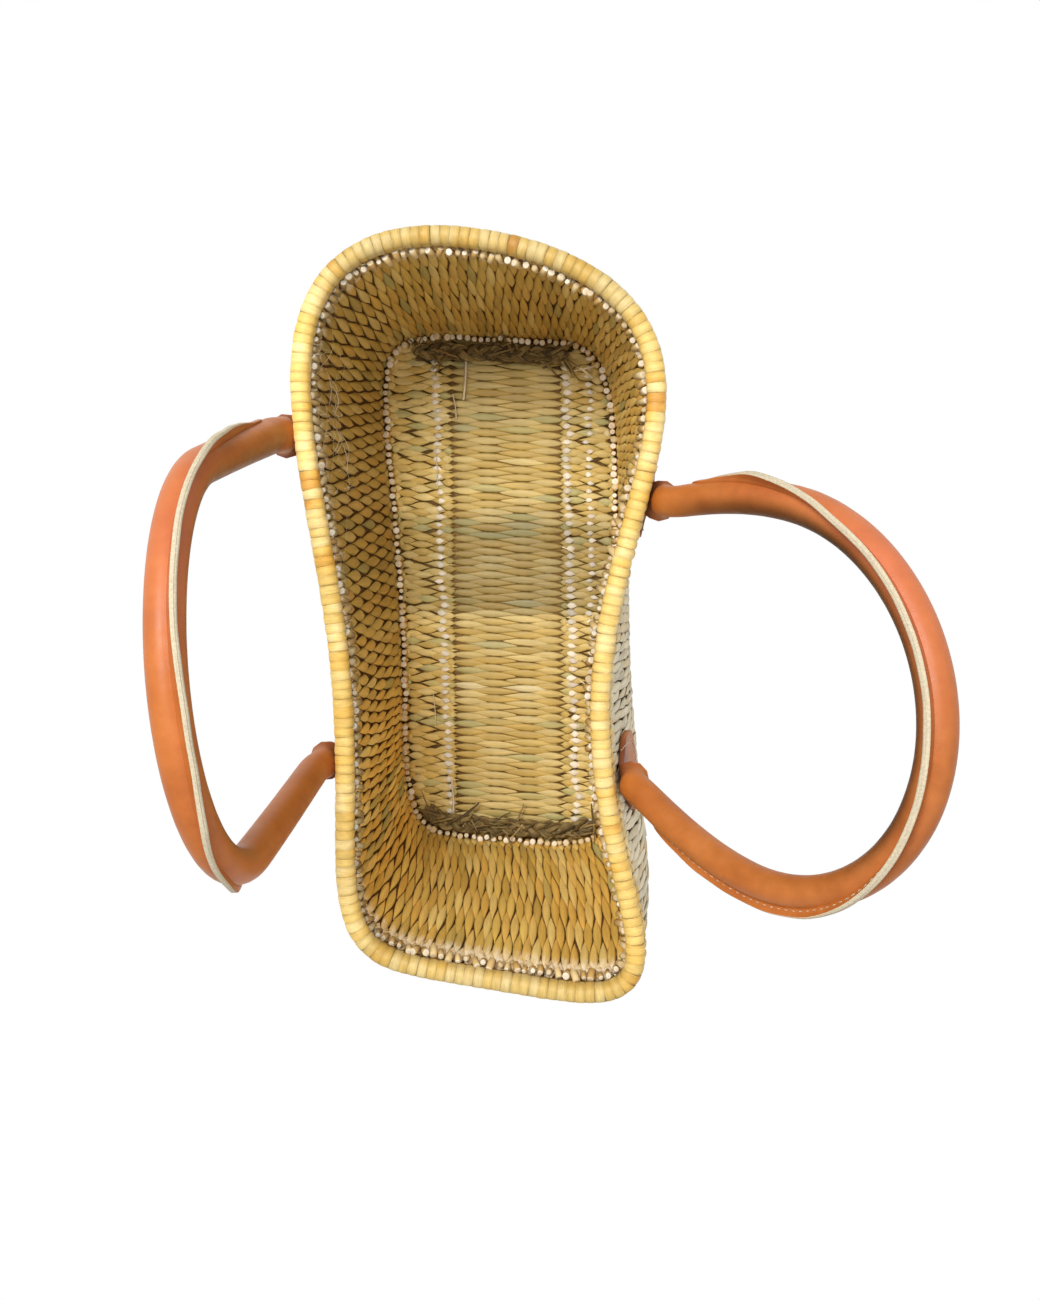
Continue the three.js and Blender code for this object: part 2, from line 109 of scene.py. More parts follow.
# The handles. The pairs of numbers go along each loop from its first neck to its second: the seam's turn
# round the tube in degrees, and shares of the tube's swelling and of the flange's width. Tapers and settle
# hold, for each leg, where the flange rises and where the seam turns, in millimetres past the neck.
HANDLES = {
    "right": dict(
        side=1, necks=(60, -98), lean=43.6, reach=176, half_width=93, shoulder=82, drift=0.14,
        seam_turn=((0, 14), (0.1, 30), (0.17, 54), (0.2, 62), (0.25, 75), (0.5, 75), (0.57, 70), (0.635, 60),
                   (0.685, 44), (0.73, 20), (0.78, 11), (0.88, 6), (0.94, -10), (1, -36)),
        swell=((0, 0), (0.2, 1), (0.55, 1), (0.72, 0), (1, 0)),
        flange=((0, 0.9), (0.6, 1), (0.72, 0.56), (1, 0.5)),
        tapers=((16, 72), (2, 26)), settle=((-2, 26), (0, 22))),
    "left": dict(
        side=-1, necks=(-86, 96), lean=84, reach=169, half_width=93, shoulder=103, drift=-0.22,
        seam_turn=((0, -96), (0.15, -84), (0.24, -30), (0.3, 18), (0.345, 24), (0.4, 40), (0.44, 47),
                   (0.5, 46), (0.53, 42), (0.58, 38), (0.66, 37), (0.7, 40), (0.74, 44), (0.77, 40),
                   (0.83, 27), (0.9, 16), (1, 2)),
        swell=((0, 0), (0.22, 0.9), (0.75, 0.9), (0.9, 1.3), (1, 1.5)),
        flange=((0, 0.3), (0.2, 0.3), (0.28, 0.4), (0.33, 0.65), (0.38, 1), (0.76, 1), (0.9, 0.5), (1, 0.25)),
        tapers=((16, 46), (16, 72)), settle=((0, 22), (-2, 26))),
}
LEATHER_THICKNESS = 2.25
STRIP_WIDTH = 45.4
FLANGE_WIDTH = 7.0
NECK_WIDTH = 15.0


# The surface that the wall follows


class Outline:
    """A closed outline in plan, measured along its length."""

    def __init__(self, line, samples=1440):
        angle = np.linspace(0, 2 * math.pi, samples + 1)
        is_far = np.sin(angle) > 0
        power = 2 / np.where(is_far, line["far_square"], line["near_square"])
        along, across = [np.sign(wave) * np.abs(wave) ** power for wave in (np.sin(angle), np.cos(angle))]
        along = along * np.where(is_far, line["far"], line["near"])
        widths = np.where(across > 0, self.through(line, line["right"], along),
                          self.through(line, line["left"], along))
        x = across * widths
        self.points = np.stack([x, along - line["slant"] * x], axis=1)
        steps = np.linalg.norm(np.diff(self.points, axis=0), axis=1)
        self.lengths = np.concatenate([[0], np.cumsum(steps)])
        self.length = self.lengths[-1]

    @staticmethod
    def through(line, widths, along):
        """The half-width along the basket: a parabola through its three stations."""
        places = [line["far" if station > 0 else "near"] * abs(station) * np.sign(station)
                  for station in STATIONS]
        total = 0
        for i, width in enumerate(widths):
            a, b = [place for j, place in enumerate(places) if j != i]
            total = total + width * (along - a) * (along - b) / ((places[i] - a) * (places[i] - b))
        return total

    def point(self, share):
        """The points at shares of the way round."""
        along = np.mod(share, 1) * self.length
        return np.stack([np.interp(along, self.lengths, self.points[:, k]) for k in (0, 1)], axis=-1)

    def at(self, share):
        """The points and the outward directions at shares of the way round."""
        nearby = 4 / self.length
        forward = self.point(share + nearby) - self.point(share - nearby)
        forward /= np.linalg.norm(forward, axis=-1, keepdims=True)
        return self.point(share), np.stack([forward[..., 1], -forward[..., 0]], axis=-1)

    def share_of(self, side, y):
        """The share at a place along the basket, on the left side (-1) or the right (1)."""
        shares = np.linspace(0, 1, 4000, endpoint=False)
        points = self.point(shares)
        misses = np.where(points[:, 0] * side > 0, np.abs(points[:, 1] - y), np.inf)
        return shares[np.argmin(misses)]


FLOOR_OUTLINE, BELLY_OUTLINE, RIM_OUTLINE = [Outline(line) for line in (FLOOR_LINE, BELLY_LINE, RIM_LINE)]


def wall_frame(share, z):
    """Points of the wall's middle surface in plan, and the outward directions there."""
    t = np.minimum(1, z / WALL_TOP)
    weights = [(1 - t) * (1 - 2 * t), 4 * t * (1 - t), t * (2 * t - 1)]
    point, outward = 0, 0
    for outline, weight in zip((FLOOR_OUTLINE, BELLY_OUTLINE, RIM_OUTLINE), weights):
        here, out = outline.at(share)
        point = point + here * weight[..., None]
        outward = outward + out * weight[..., None]
    return point, outward / np.linalg.norm(outward, axis=-1, keepdims=True)


def wall_point(share, z, offset):
    """Points at shares of the way round, heights, and distances outside the wall's middle surface."""
    share, z, offset = np.broadcast_arrays(*[np.asarray(v, float) for v in (share, z, offset)])
    point, outward = wall_frame(share, z)
    plan = point + outward * offset[..., None]
    return np.concatenate([plan, z[..., None]], axis=-1)


def unit(vectors):
    """The vectors at length 1."""
    vectors = np.asarray(vectors, float)
    return vectors / np.linalg.norm(vectors, axis=-1, keepdims=True)


def smooth(value, low, high):
    """A soft step from 0 at the low value to 1 at the high one."""
    t = np.clip((np.asarray(value, float) - low) / (high - low), 0, 1)
    return t * t * (3 - 2 * t)


def outward_at(share, z=100.0):
    """The outward directions of the wall at shares of the way round."""
    share = np.asarray(share, float)
    outward = wall_frame(share, np.full(share.shape, float(z)))[1]
    return np.concatenate([outward, np.zeros(share.shape + (1,))], axis=-1)


# Meshes


def make_object(name, points, faces=(), edges=(), materials=(), **attributes):
    """A mesh object from points in millimetres. Attributes are one value or one vector for each point."""
    mesh = bpy.data.meshes.new(name)
    mesh.from_pydata((np.asarray(points, float) * METRES).tolist(), list(edges), [list(f) for f in faces])
    for label, values in attributes.items():
        values = np.asarray(values)
        kind = "FLOAT_VECTOR" if values.ndim == 2 else "INT" if values.dtype.kind == "i" else "FLOAT"
        attribute = mesh.attributes.new(label, kind, "POINT")
        field = "vector" if kind == "FLOAT_VECTOR" else "value"
        attribute.data.foreach_set(field, values.astype(np.int32 if kind == "INT" else np.float32).ravel())
    for material in materials:
        mesh.materials.append(material)
    mesh.polygons.foreach_set("use_smooth", [True] * len(mesh.polygons))
    mesh.update()
    obj = bpy.data.objects.new(name, mesh)
    bpy.context.scene.collection.objects.link(obj)
    return obj


def grid_faces(rows, columns, close_rows=False):
    """Quads between the points of rings that follow one another."""
    faces = []
    for i in range(rows if close_rows else rows - 1):
        here, ahead = i * columns, (i + 1) % rows * columns
        for j in range(columns):
            beside = (j + 1) % columns
            faces.append((here + j, here + beside, ahead + beside, ahead + j))
    return faces


def tube_faces(rows, columns):
    """The faces of a tube of rings, closed at both ends."""
    ends = [tuple(range(columns)), tuple(reversed(range((rows - 1) * columns, rows * columns)))]
    return grid_faces(rows, columns) + ends


def outwards(obj):
    """Turns a closed mesh's faces to point out."""
    work = bmesh.new()
    work.from_mesh(obj.data)
    bmesh.ops.recalc_face_normals(work, faces=work.faces)
    work.to_mesh(obj.data)
    work.free()
    return obj


def repeated_shape(name, points, faces, **attributes):
    """A shape for the trees to repeat, kept out of the scene so that only its instances show."""
    shape = outwards(make_object(name, points, faces, **attributes))
    for collection in list(shape.users_collection):
        collection.objects.unlink(shape)
    return shape


def crossing_guide(name, points, pitch, interval, along, outward, strand=0, weft=0, pale=0.0, dark=0.0):
    """Where a weave's floats lie, their spacing across and along in millimetres, and their directions."""
    def each(value, kind=float):
        """One value for each point."""
        return np.broadcast_to(value, len(points)).astype(kind)

    return make_object(name, points, strand=each(strand, int), weft=each(weft, int),
                       pitch=each(pitch) * METRES, interval=each(interval) * METRES,
                       along=np.broadcast_to(along, np.shape(points)),
                       outward=np.broadcast_to(outward, np.shape(points)), pale=each(pale), dark=each(dark))


def finish_piece(obj, body, slot_name, *nodes):
    """Puts a finished piece on its body and hides the frame nodes that it stands for. The slot name is not
    used.
    """
    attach(obj, body)
    if nodes:
        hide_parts(*nodes)
    return obj


# Node trees


def socket(sockets, name):
    """The socket of that name that is in use."""
    return next(s for s in sockets if s.name == name and s.enabled)


class Graph:
    """Nodes under construction."""

    def __init__(self, tree):
        self.nodes, self.links = tree.nodes, tree.links

    def put(self, value, target):
        """Links a socket to an input, or writes a value there."""
        if isinstance(value, bpy.types.NodeSocket):
            self.links.new(value, target)
        else:
            target.default_value = value

    def add(self, kind, settings=None, **inputs):
        """Adds a node and gives its first output.

        Inputs go by name, with _ for a space, or by place as i0, i1.
        """
        node = self.nodes.new(kind)
        for label, value in (settings or {}).items():
            setattr(node, label, value)
        for label, value in inputs.items():
            name = label.replace("_", " ")
            by_place = name[0] == "i" and name[1:].isdigit()
            self.put(value, node.inputs[int(name[1:])] if by_place else socket(node.inputs, name))
        return next(s for s in node.outputs if s.enabled)

    def math(self, operation, *values):
        """The result of an operation on one or more values."""
        return self.add("ShaderNodeMath", {"operation": operation},
                        **{f"i{k}": value for k, value in enumerate(values)})


class Tree(Graph):
    """A geometry node tree. Inputs are given as name, kind and default."""

    def __init__(self, name, inputs):
        self.tree = bpy.data.node_groups.new(name, "GeometryNodeTree")
        super().__init__(self.tree)
        self.tree.interface.new_socket("Geometry", in_out="INPUT", socket_type="NodeSocketGeometry")
        for label, kind, default in inputs:
            made = self.tree.interface.new_socket(label, in_out="INPUT", socket_type="NodeSocket" + kind)
            if default is not None:
                made.default_value = default
        self.tree.interface.new_socket("Geometry", in_out="OUTPUT", socket_type="NodeSocketGeometry")
        self.inputs = self.nodes.new("NodeGroupInput")

    def given(self, label):
        """One of the tree's own inputs."""
        return socket(self.inputs.outputs, label)

    def attribute(self, name, kind="FLOAT"):
        """A value that the guide holds at each point."""
        return self.add("GeometryNodeInputNamedAttribute", {"data_type": kind}, Name=name)

    def random(self, low, high, kind="FLOAT", salt=0, **of):
        """Chance values between two limits. Each use has its own salt, added to the tree's seed."""
        salted = self.math("ADD", self.given("Seed"), salt)
        return self.add("FunctionNodeRandomValue", {"data_type": kind}, Min=low, Max=high, Seed=salted, **of)

    def about_one(self, spread, salt):
        """A chance factor within a spread of 1."""
        least, most = self.math("SUBTRACT", 1.0, spread), self.math("ADD", 1.0, spread)
        return self.random(least, most, salt=salt)

    def either_way(self, most, salt):
        """A chance vector between one vector and its opposite."""
        least = self.add("ShaderNodeVectorMath", {"operation": "SCALE"}, i0=most, Scale=-1.0)
        return self.random(least, most, "FLOAT_VECTOR", salt)

    def store(self, geometry, name, value):
        """The geometry with one more value at each point."""
        return self.add("GeometryNodeStoreNamedAttribute", {"data_type": "FLOAT", "domain": "POINT"},
                        Geometry=geometry, Name=name, Value=value)

    def facing(self, first, primary, second, secondary):
        """A turn that brings the first axis to one vector and the second axis towards another."""
        return self.add("FunctionNodeAxesToRotation", {"primary_axis": first, "secondary_axis": second},
                        Primary_Axis=primary, Secondary_Axis=secondary)

    def repeat(self, points, rotation, scale, **choice):
        """Instances of the given shape on points, each turned a little at random."""
        wobble = self.either_way(self.given("Turn variation"), 1)
        turned = self.add("FunctionNodeRotateRotation", {"rotation_space": "LOCAL"}, Rotation=rotation,
                          Rotate_By=wobble)
        body = self.add("GeometryNodeObjectInfo", {"transform_space": "ORIGINAL"}, Object=self.given("Shape"))
        return self.add("GeometryNodeInstanceOnPoints", Points=points, Rotation=turned, Scale=scale,
                        Instance=socket(body.node.outputs, "Geometry"), **choice)

    def finish(self, geometry):
        """Ends the tree in Realize Instances and Set Material."""
        real = self.add("GeometryNodeRealizeInstances", Geometry=geometry)
        painted = self.add("GeometryNodeSetMaterial", Geometry=real, Material=self.given("Material"))
        self.links.new(painted, self.nodes.new("NodeGroupOutput").inputs[0])
        return self.tree


def weave_tree():
    """Reed floats on the crossings of a woven surface, on every second crossing, as plain weave has them."""
    tree = Tree("Floats over wefts", [
        ("Shape", "Object", None), ("Parity", "Int", 0), ("Width share", "Float", 0.95),
        ("Length share", "Float", 1.5), ("Thickness", "Float", 0.002), ("Size variation", "Float", 0.1),
        ("Turn variation", "Vector", (0, 0, 0.05)), ("Seed", "Int", 1), ("Material", "Material", None)])
    strand = tree.attribute("strand", "INT")
    seeded = tree.store(tree.given("Geometry"), "seed",
                        tree.math("ADD", tree.random(0.0, 0.25), tree.random(0.0, 0.75, salt=9, ID=strand)))
    crossing = tree.math("ADD", strand, tree.attribute("weft", "INT"))
    shifted = tree.math("ADD", crossing, tree.given("Parity"))
    even = tree.math("LESS_THAN", tree.math("FLOORED_MODULO", shifted, 2.0), 0.5)
    variation = tree.given("Size variation")
    width = tree.math("MULTIPLY", tree.attribute("pitch"), tree.given("Width share"))
    width = tree.math("MULTIPLY", width, tree.about_one(variation, 2))
    length = tree.math("MULTIPLY", tree.attribute("interval"), tree.given("Length share"))
    length = tree.math("MULTIPLY", length, tree.about_one(variation, 3))
    height = tree.math("MULTIPLY", tree.given("Thickness"), tree.random(0.85, 1.15, salt=4))
    scale = tree.add("ShaderNodeCombineXYZ", X=width, Y=length, Z=height)
    rotation = tree.facing("Z", tree.attribute("outward", "FLOAT_VECTOR"),
                           "Y", tree.attribute("along", "FLOAT_VECTOR"))
    return tree.finish(tree.repeat(seeded, rotation, scale, Selection=even))


def row_tree():
    """Shapes in a row along a path, such as wraps, cut ends and stitches."""
    tree = Tree("Row along a path", [
        ("Shape", "Object", None), ("Count", "Int", 100), ("Size", "Vector", (1, 1, 1)),
        ("Size variation", "Float", 0.1), ("Turn variation", "Vector", (0, 0, 0)),
        ("Shift", "Vector", (0, 0, 0)), ("Seed", "Int", 1), ("Material", "Material", None)])
    curve = tree.add("GeometryNodeMeshToCurve", Mesh=tree.given("Geometry"))
    even = tree.add("GeometryNodeResampleCurve", Curve=curve, Count=tree.given("Count"))
    seeded = tree.store(even, "seed", tree.random(0.0, 1.0))
    rotation = tree.facing("Y", tree.add("GeometryNodeInputTangent"),
                           "X", tree.attribute("outward", "FLOAT_VECTOR"))
    grown = tree.about_one(tree.given("Size variation"), 2)
    scale = tree.add("ShaderNodeVectorMath", {"operation": "SCALE"}, i0=tree.given("Size"), Scale=grown)
    placed = tree.repeat(seeded, rotation, scale)
    moved = tree.add("GeometryNodeTranslateInstances", Instances=placed, Local_Space=True,
                     Translation=tree.either_way(tree.given("Shift"), 5))
    return tree.finish(moved)


def fibre_tree():
    """Flat or round fibres along drawn lines. Each line's points hold their thickness, turn and seed."""
    tree = Tree("Fibres along lines", [
        ("Flatness", "Float", 0.4), ("Sides", "Int", 6), ("Material", "Material", None)])
    curve = tree.add("GeometryNodeMeshToCurve", Mesh=tree.given("Geometry"))
    upright = tree.add("GeometryNodeSetCurveNormal", {"mode": "Z_UP"}, Curve=curve)
    tilted = tree.add("GeometryNodeSetCurveTilt", Curve=upright, Tilt=tree.attribute("turn"))
    circle = tree.add("GeometryNodeCurvePrimitiveCircle", Resolution=tree.given("Sides"), Radius=0.5)
    flat = tree.add("ShaderNodeCombineXYZ", X=1.0, Y=tree.given("Flatness"), Z=1.0)
    profile = tree.add("GeometryNodeTransform", Geometry=circle, Scale=flat)
    solid = tree.add("GeometryNodeCurveToMesh", Curve=tilted, Profile_Curve=profile, Fill_Caps=True,
                     Scale=tree.attribute("thickness"))
    return tree.finish(tree.add("GeometryNodeSetShadeSmooth", Geometry=solid))


TREE_MAKERS = {"weave": weave_tree, "row": row_tree, "fibres": fibre_tree}
trees = {}


def grow(guide, tree_name, **values):
    """Runs a node tree over a guide object and leaves the plain mesh that it makes in the guide's place."""
    if tree_name not in trees:
        trees[tree_name] = TREE_MAKERS[tree_name]()
    modifier = guide.modifiers.new("Growth", "NODES")
    modifier.node_group = trees[tree_name]
    for item in trees[tree_name].interface.items_tree:
        label = item.name.lower().replace(" ", "_")
        if item.in_out == "INPUT" and label in values:
            modifier[item.identifier] = values.pop(label)
    if values:
        raise ValueError(f"{tree_name} has no input for {sorted(values)}")
    guide.update_tag()
    graph = bpy.context.evaluated_depsgraph_get()
    mesh = bpy.data.meshes.new_from_object(guide.evaluated_get(graph), depsgraph=graph)
    guide.modifiers.remove(modifier)
    guide.data = mesh
    return guide


# Materials


def linear(color):
    """A colour written as 0 to 255 screen values, as linear light."""
    shares = [channel / 255 for channel in color]
    return tuple(c / 12.92 if c <= 0.04045 else ((c + 0.055) / 1.055) ** 2.4 for c in shares) + (1.0,)


class Shader(Graph):
    """A material under construction."""

    def __init__(self, name):
        self.material = bpy.data.materials.new(name)
        self.material.use_nodes = True
        super().__init__(self.material.node_tree)
        self.surface = self.nodes["Principled BSDF"]

    def place(self):
        """The place on the object."""
        return self.add("ShaderNodeTexCoord").node.outputs["Object"]

    def grain(self):
        """The piece's own grain coordinates, moved apart for each strand by its seed."""
        seed = self.math("MULTIPLY", self.attribute("seed"), 91.7)
        return self.add("ShaderNodeVectorMath", {"operation": "ADD"}, i0=self.attribute("grain", True),
                        i1=self.add("ShaderNodeCombineXYZ", X=0.0, Y=0.0, Z=seed))

    def attribute(self, name, vector=False):
        """The number, or the vector, that a mesh holds at each point."""
        node = self.nodes.new("ShaderNodeAttribute")
        node.attribute_name = name
        return node.outputs["Vector" if vector else "Fac"]

    def range(self, value, low, high, to_low, to_high):
        """A value brought from one pair of limits to another."""
        return self.add("ShaderNodeMapRange", Value=value, From_Min=low, From_Max=high, To_Min=to_low,
                        To_Max=to_high)

    def spread(self, noise, low, high):
        """A noise spread over the whole way between two values."""
        return self.range(noise, 0.3, 0.7, low, high)

    def noise(self, vector, scale, detail):
        """Soft noise, mostly between 0.3 and 0.7."""
        return self.add("ShaderNodeTexNoise", Vector=vector, Scale=scale, Detail=detail, Roughness=0.55)

    def streaks(self, vector, factors, detail):
        """A noise stretched along some axes."""
        return self.noise(self.add("ShaderNodeMapping", Vector=vector, Scale=factors), 1.0, detail)

    def between(self, noise, low, high):
        """A noise as colours between two."""
        return self.ramp(noise, [(0.3, linear(low)), (0.7, linear(high))])

    def ramp(self, value, stops):
        """Colours from stops, each a place from 0 to 1 and a colour."""
        node = self.nodes.new("ShaderNodeValToRGB")
        ramp = node.color_ramp
        while len(ramp.elements) < len(stops):
            ramp.elements.new(0.5)
        for element, (place, color) in zip(ramp.elements, stops):
            element.position = place
            element.color = color
        self.links.new(value, node.inputs["Fac"])
        return node.outputs["Color"]

    def mix(self, factor, a, b, blend="MIX"):
        """Two colours laid over one another."""
        node = self.nodes.new("ShaderNodeMix")
        node.data_type = "RGBA"
        node.blend_type = blend
        for place, value in ((0, factor), (6, a), (7, b)):
            self.put(value, node.inputs[place])
        return node.outputs[2]

    def shade(self, color, factor):
        """A colour times a number."""
        grey = self.add("ShaderNodeCombineColor", Red=factor, Green=factor, Blue=factor)
        return self.mix(1.0, color, grey, "MULTIPLY")

    def darken(self, color):
        """A colour as dark as the piece's own attribute says, or lighter where that is below 0."""
        # The dark attribute holds painted shade, and painted light where it is below 0; on some pieces it
        # also holds chance differences.
        return self.shade(color, self.math("SUBTRACT", 1.0, self.attribute("dark")))

    def bump(self, height, distance, strength=1.0, **under):
        """A surface direction as if a height stood up by that distance, over another that may be given."""
        return self.add("ShaderNodeBump", Height=height, Distance=distance, Strength=strength, **under)

    def finish(self, color, roughness, normal):
        """Ends the material on its surface and gives it."""
        for label, value in (("Base Color", color), ("Roughness", roughness), ("Normal", normal)):
            self.put(value, self.surface.inputs[label])
        return self.material


def reed_material(name, stops, roughness=0.5, chalk_from=None, drift=0.0, sides=0.74):
    """Split reed: a colour for each strand, fine lines along it, chalky where marked and with painted shade
    where marked.

    The chalk may start at a height, the colours may drift from place to place, and the sides may have painted
    shade.
    """
    shader = Shader(name)
    grain, place, own = shader.grain(), shader.place(), shader.attribute("seed")
    if drift:
        slow = shader.spread(shader.noise(place, 24.0, 2.0), 0.0, drift)
        own = shader.math("ADD", shader.math("MULTIPLY", own, 1.0 - drift), slow)
    lines = shader.streaks(grain, (4.5, 0.55, 1.0), 4.0)
    blotch = shader.streaks(grain, (0.7, 0.9, 1.0), 2.0)
    mottle = shader.streaks(grain, (1.3, 3.0, 1.0), 3.0)
    color = shader.shade(shader.ramp(own, stops), shader.spread(lines, 0.86, 1.12))
    color = shader.shade(color, shader.spread(blotch, 0.88, 1.08))
    chalky = shader.math("MULTIPLY", shader.attribute("pale"), shader.range(mottle, 0.35, 0.6, 0.45, 1.0))
    if chalk_from is not None:
        height = shader.add("ShaderNodeSeparateXYZ", Vector=place).node.outputs["Z"]
        wavy = shader.math("ADD", height, shader.math("MULTIPLY", mottle, 0.02))
        chalky = shader.math("MULTIPLY", chalky, shader.range(wavy, chalk_from, chalk_from + 0.016, 0.0, 1.0))
    color = shader.mix(chalky, color, linear((236, 226, 206)))
    # Painted shade toward the reed's sides and a painted highlight along its middle
    across = shader.add("ShaderNodeSeparateXYZ", Vector=shader.attribute("grain", True)).node.outputs["X"]
    color = shader.shade(color, shader.range(shader.math("ABSOLUTE", across), 0.55, 1.0, 1.1, sides))
    return shader.finish(shader.darken(color), shader.spread(lines, roughness - 0.08, roughness + 0.12),
                         shader.bump(lines, 0.0003, 0.7))


def palette(*colors):
    """Colour stops over the seed, each colour holding an equal share or the share given with it."""
    shares = [color[3] if len(color) > 3 else 1.0 for color in colors]
    places = np.concatenate([[0], np.cumsum(shares)[:-1]]) / sum(shares)
    return [(float(place), linear(color[:3])) for place, color in zip(places, colors)]


# Shapes that the trees repeat

FLOAT_SLIMNESS = 1.6
STUB_SIDES = 8
THREAD_SIDES = 6


def float_shape(dive):
    """One visible stretch of a reed: widest and highest at its middle, with slim tips a dive lower."""
    stations = np.sin(np.linspace(-1, 1, 9) * math.pi / 2 * 0.75) / math.sin(math.pi / 2 * 0.75)
    angles = np.linspace(0, math.pi, 6)
    points, grain = [], []
    for s in stations:
        half = max(0.02, 0.5 * math.cos(s * math.pi / 2 * 0.985) ** FLOAT_SLIMNESS)
        rise = math.cos(s * math.pi / 2) ** 0.9
        for angle in angles:
            x, z = half * math.cos(angle), (0.6 + 0.4 * math.sin(angle) ** 0.8) * (0.45 + 0.55 * rise)
            points.append((x, s / 2, z - 0.55 - dive * (1 - rise)))
            grain.append((x * 2, s, z))
        points.append((0, s / 2, -0.95 + 0.1 * rise))
        grain.append((0, s, 0))
    return repeated_shape("reed_float_shape", np.array(points) / METRES,
                          tube_faces(len(stations), len(angles) + 1), grain=np.array(grain))


def stub_shape():
    """A cut reed end: a short upright cylinder with a rounded edge and a small hollow in its pith."""
    rings = [(0.5, -0.5), (0.5, 0.38), (0.42, 0.5), (0.12, 0.47)]
    angles = np.arange(STUB_SIDES) * 2 * math.pi / STUB_SIDES
    points, grain = [], []
    for radius, height in rings:
        ring = [(radius * math.cos(angle), radius * math.sin(angle), height) for angle in angles]
        points += ring
        grain += [(x * 4, y * 4, z * 2) for x, y, z in ring]
    return repeated_shape("cut_end_shape", np.array(points) / METRES, tube_faces(len(rings), STUB_SIDES),
                          grain=np.array(grain), pith=np.repeat([0.0, 0.0, 1.0, 0.6], STUB_SIDES))


def wrap_shape(outer, skirt, lip, thickness):
    """One turn of flat straw over the rim: its width along Y, its crown a little proud of its edges."""
    one_side = [(lip, -skirt), (outer * 0.98, -outer * 0.75), (outer, 0.0), (outer * 0.8, outer * 0.62),
                (outer * 0.3, outer * 0.9)]
    path = np.array(one_side + [(-x, z) for x, z in reversed(one_side)])
    out = unit(path + np.array([[0, outer * 0.2]]))
    profile = [(-0.5, -0.32), (-0.3, 0.0), (0.0, 0.12), (0.3, 0.0), (0.5, -0.32), (0.42, -thickness),
               (-0.42, -thickness)]
    run = np.concatenate([[0], np.cumsum(np.linalg.norm(np.diff(path, axis=0), axis=1))])
    points, grain = [], []
    for place, direction, distance in zip(path, out, run):
        for y, lift in profile:
            x, z = place + direction * lift
            points.append((x, y, z))
            grain.append((y * 4, distance / 6, 0.0))
    return repeated_shape("wrap_shape", np.array(points), tube_faces(len(path), len(profile)),
                          grain=np.array(grain))


def stitch_shape():
    """One stitch of waxed thread, sunk at both ends."""
    points, grain = [], []
    stations = np.linspace(-1, 1, 6)
    for s in stations:
        radius = 0.5 * math.sqrt(max(0.08, 1 - abs(s) ** 3))
        sink = -0.5 * abs(s) ** 3
        for angle in np.arange(THREAD_SIDES) * 2 * math.pi / THREAD_SIDES:
            points.append((radius * math.cos(angle), s / 2, radius * math.sin(angle) + sink))
            grain.append((math.cos(angle), s * 3, 0))
    return repeated_shape("stitch_shape", np.array(points) / METRES, tube_faces(len(stations), THREAD_SIDES),
                          grain=np.array(grain))


# Settings


def length_setting(name, description, default):
    """A length that a user may change, with its default in millimetres."""
    return FloatProperty(name=name, description=description, default=default * METRES, min=0.0,
                         subtype="DISTANCE", unit="LENGTH", precision=4)


def color_setting(name, description, default):
    """A colour that a user may change, with its default in screen values."""
    return FloatVectorProperty(name=name, description=description, default=linear(default)[:3], min=0.0,
                               max=1.0, size=3, subtype="COLOR")


class WeaveSettings(bpy.types.PropertyGroup):
    """Sizes of the woven wall."""

    reed_pitch: length_setting("Reed pitch", "From one upright reed to the next, at half height", 2.72)
    side_pitch_share: FloatProperty(name="Left side's pitch", default=1.3,
                                    description="How much wider the reeds lie on the left side")
    row_height: length_setting("Row height", "From one hidden weft to the next", 27.3)
    first_row: length_setting("First row", "Height of the lowest weft", 18.0)
    reed_thickness: length_setting("Reed thickness", "How thick a reed is at its middle", 2.3)
    weft_thickness: length_setting("Weft thickness", "Thickness of the hidden weft cords", 2.6)
    core_thickness: length_setting("Core thickness", "Thickness of the packed middle of the weave", 2.2)
    seed: IntProperty(name="Seed", description="Changes the chance differences between reeds", default=7)


class RimSettings(bpy.types.PropertyGroup):
    """Sizes of the wound rim and of its row of cut ends."""

    wrap_count: IntProperty(name="Turns of straw", description="How many turns wind round the rim",
                            default=205)
    wrap_lap: FloatProperty(name="Lap", description="A turn's width as a share of its spacing", default=1.22)
    skirt: length_setting("Skirt", "How far the straw reaches down both sides of the wall", 8.0)
    stub_pitch: length_setting("Cut end pitch", "From one cut end under the rim to the next", 4.9)
    seed: IntProperty(name="Seed", description="Changes the chance differences between turns", default=3)


class FloorSettings(bpy.types.PropertyGroup):
    """Sizes of the woven floor."""

    reed_pitch: length_setting("Reed pitch", "From one reed across the floor to the next", 2.62)
    mat_row: length_setting("Mat row", "Between the mat's hidden cords", 22.5)
    lap_row: length_setting("Lap row", "Between the laps' hidden cords", 11.0)
    stub_pitch: length_setting("Cut end pitch", "From one cut end round the floor to the next", 4.7)
    seed: IntProperty(name="Seed", description="Changes the chance differences between reeds", default=11)


class PlaitSettings(bpy.types.PropertyGroup):
    """Sizes of the grass plaits."""

    blade_width: length_setting("Blade width", "Width of one blade of grass", 3.3)
    cross_length: length_setting("Cross length", "Length of one full crossing of the plait", 26.0)
    loose_blades: IntProperty(name="Loose blades", description="Frayed blades along each plait", default=46)
    seed: IntProperty(name="Seed", description="Changes the lie of the blades", default=5)


class HandleSettings(bpy.types.PropertyGroup):
    """Sizes and colours of the leather handles."""

    stitch_pitch: length_setting("Stitch pitch", "From one stitch to the next", 4.4)
    stitch_length: length_setting("Stitch length", "Visible length of a stitch", 2.7)
    thread_thickness: length_setting("Thread thickness", "Thickness of the waxed thread", 0.55)
    seam_inset: length_setting("Seam inset", "From the cut edge to the stitches", 2.6)
    leather_color: color_setting("Leather colour", "Main colour of the leather", (182, 103, 40))
    edge_color: color_setting("Cut edge colour", "Colour of the cut edge", (197, 185, 159))


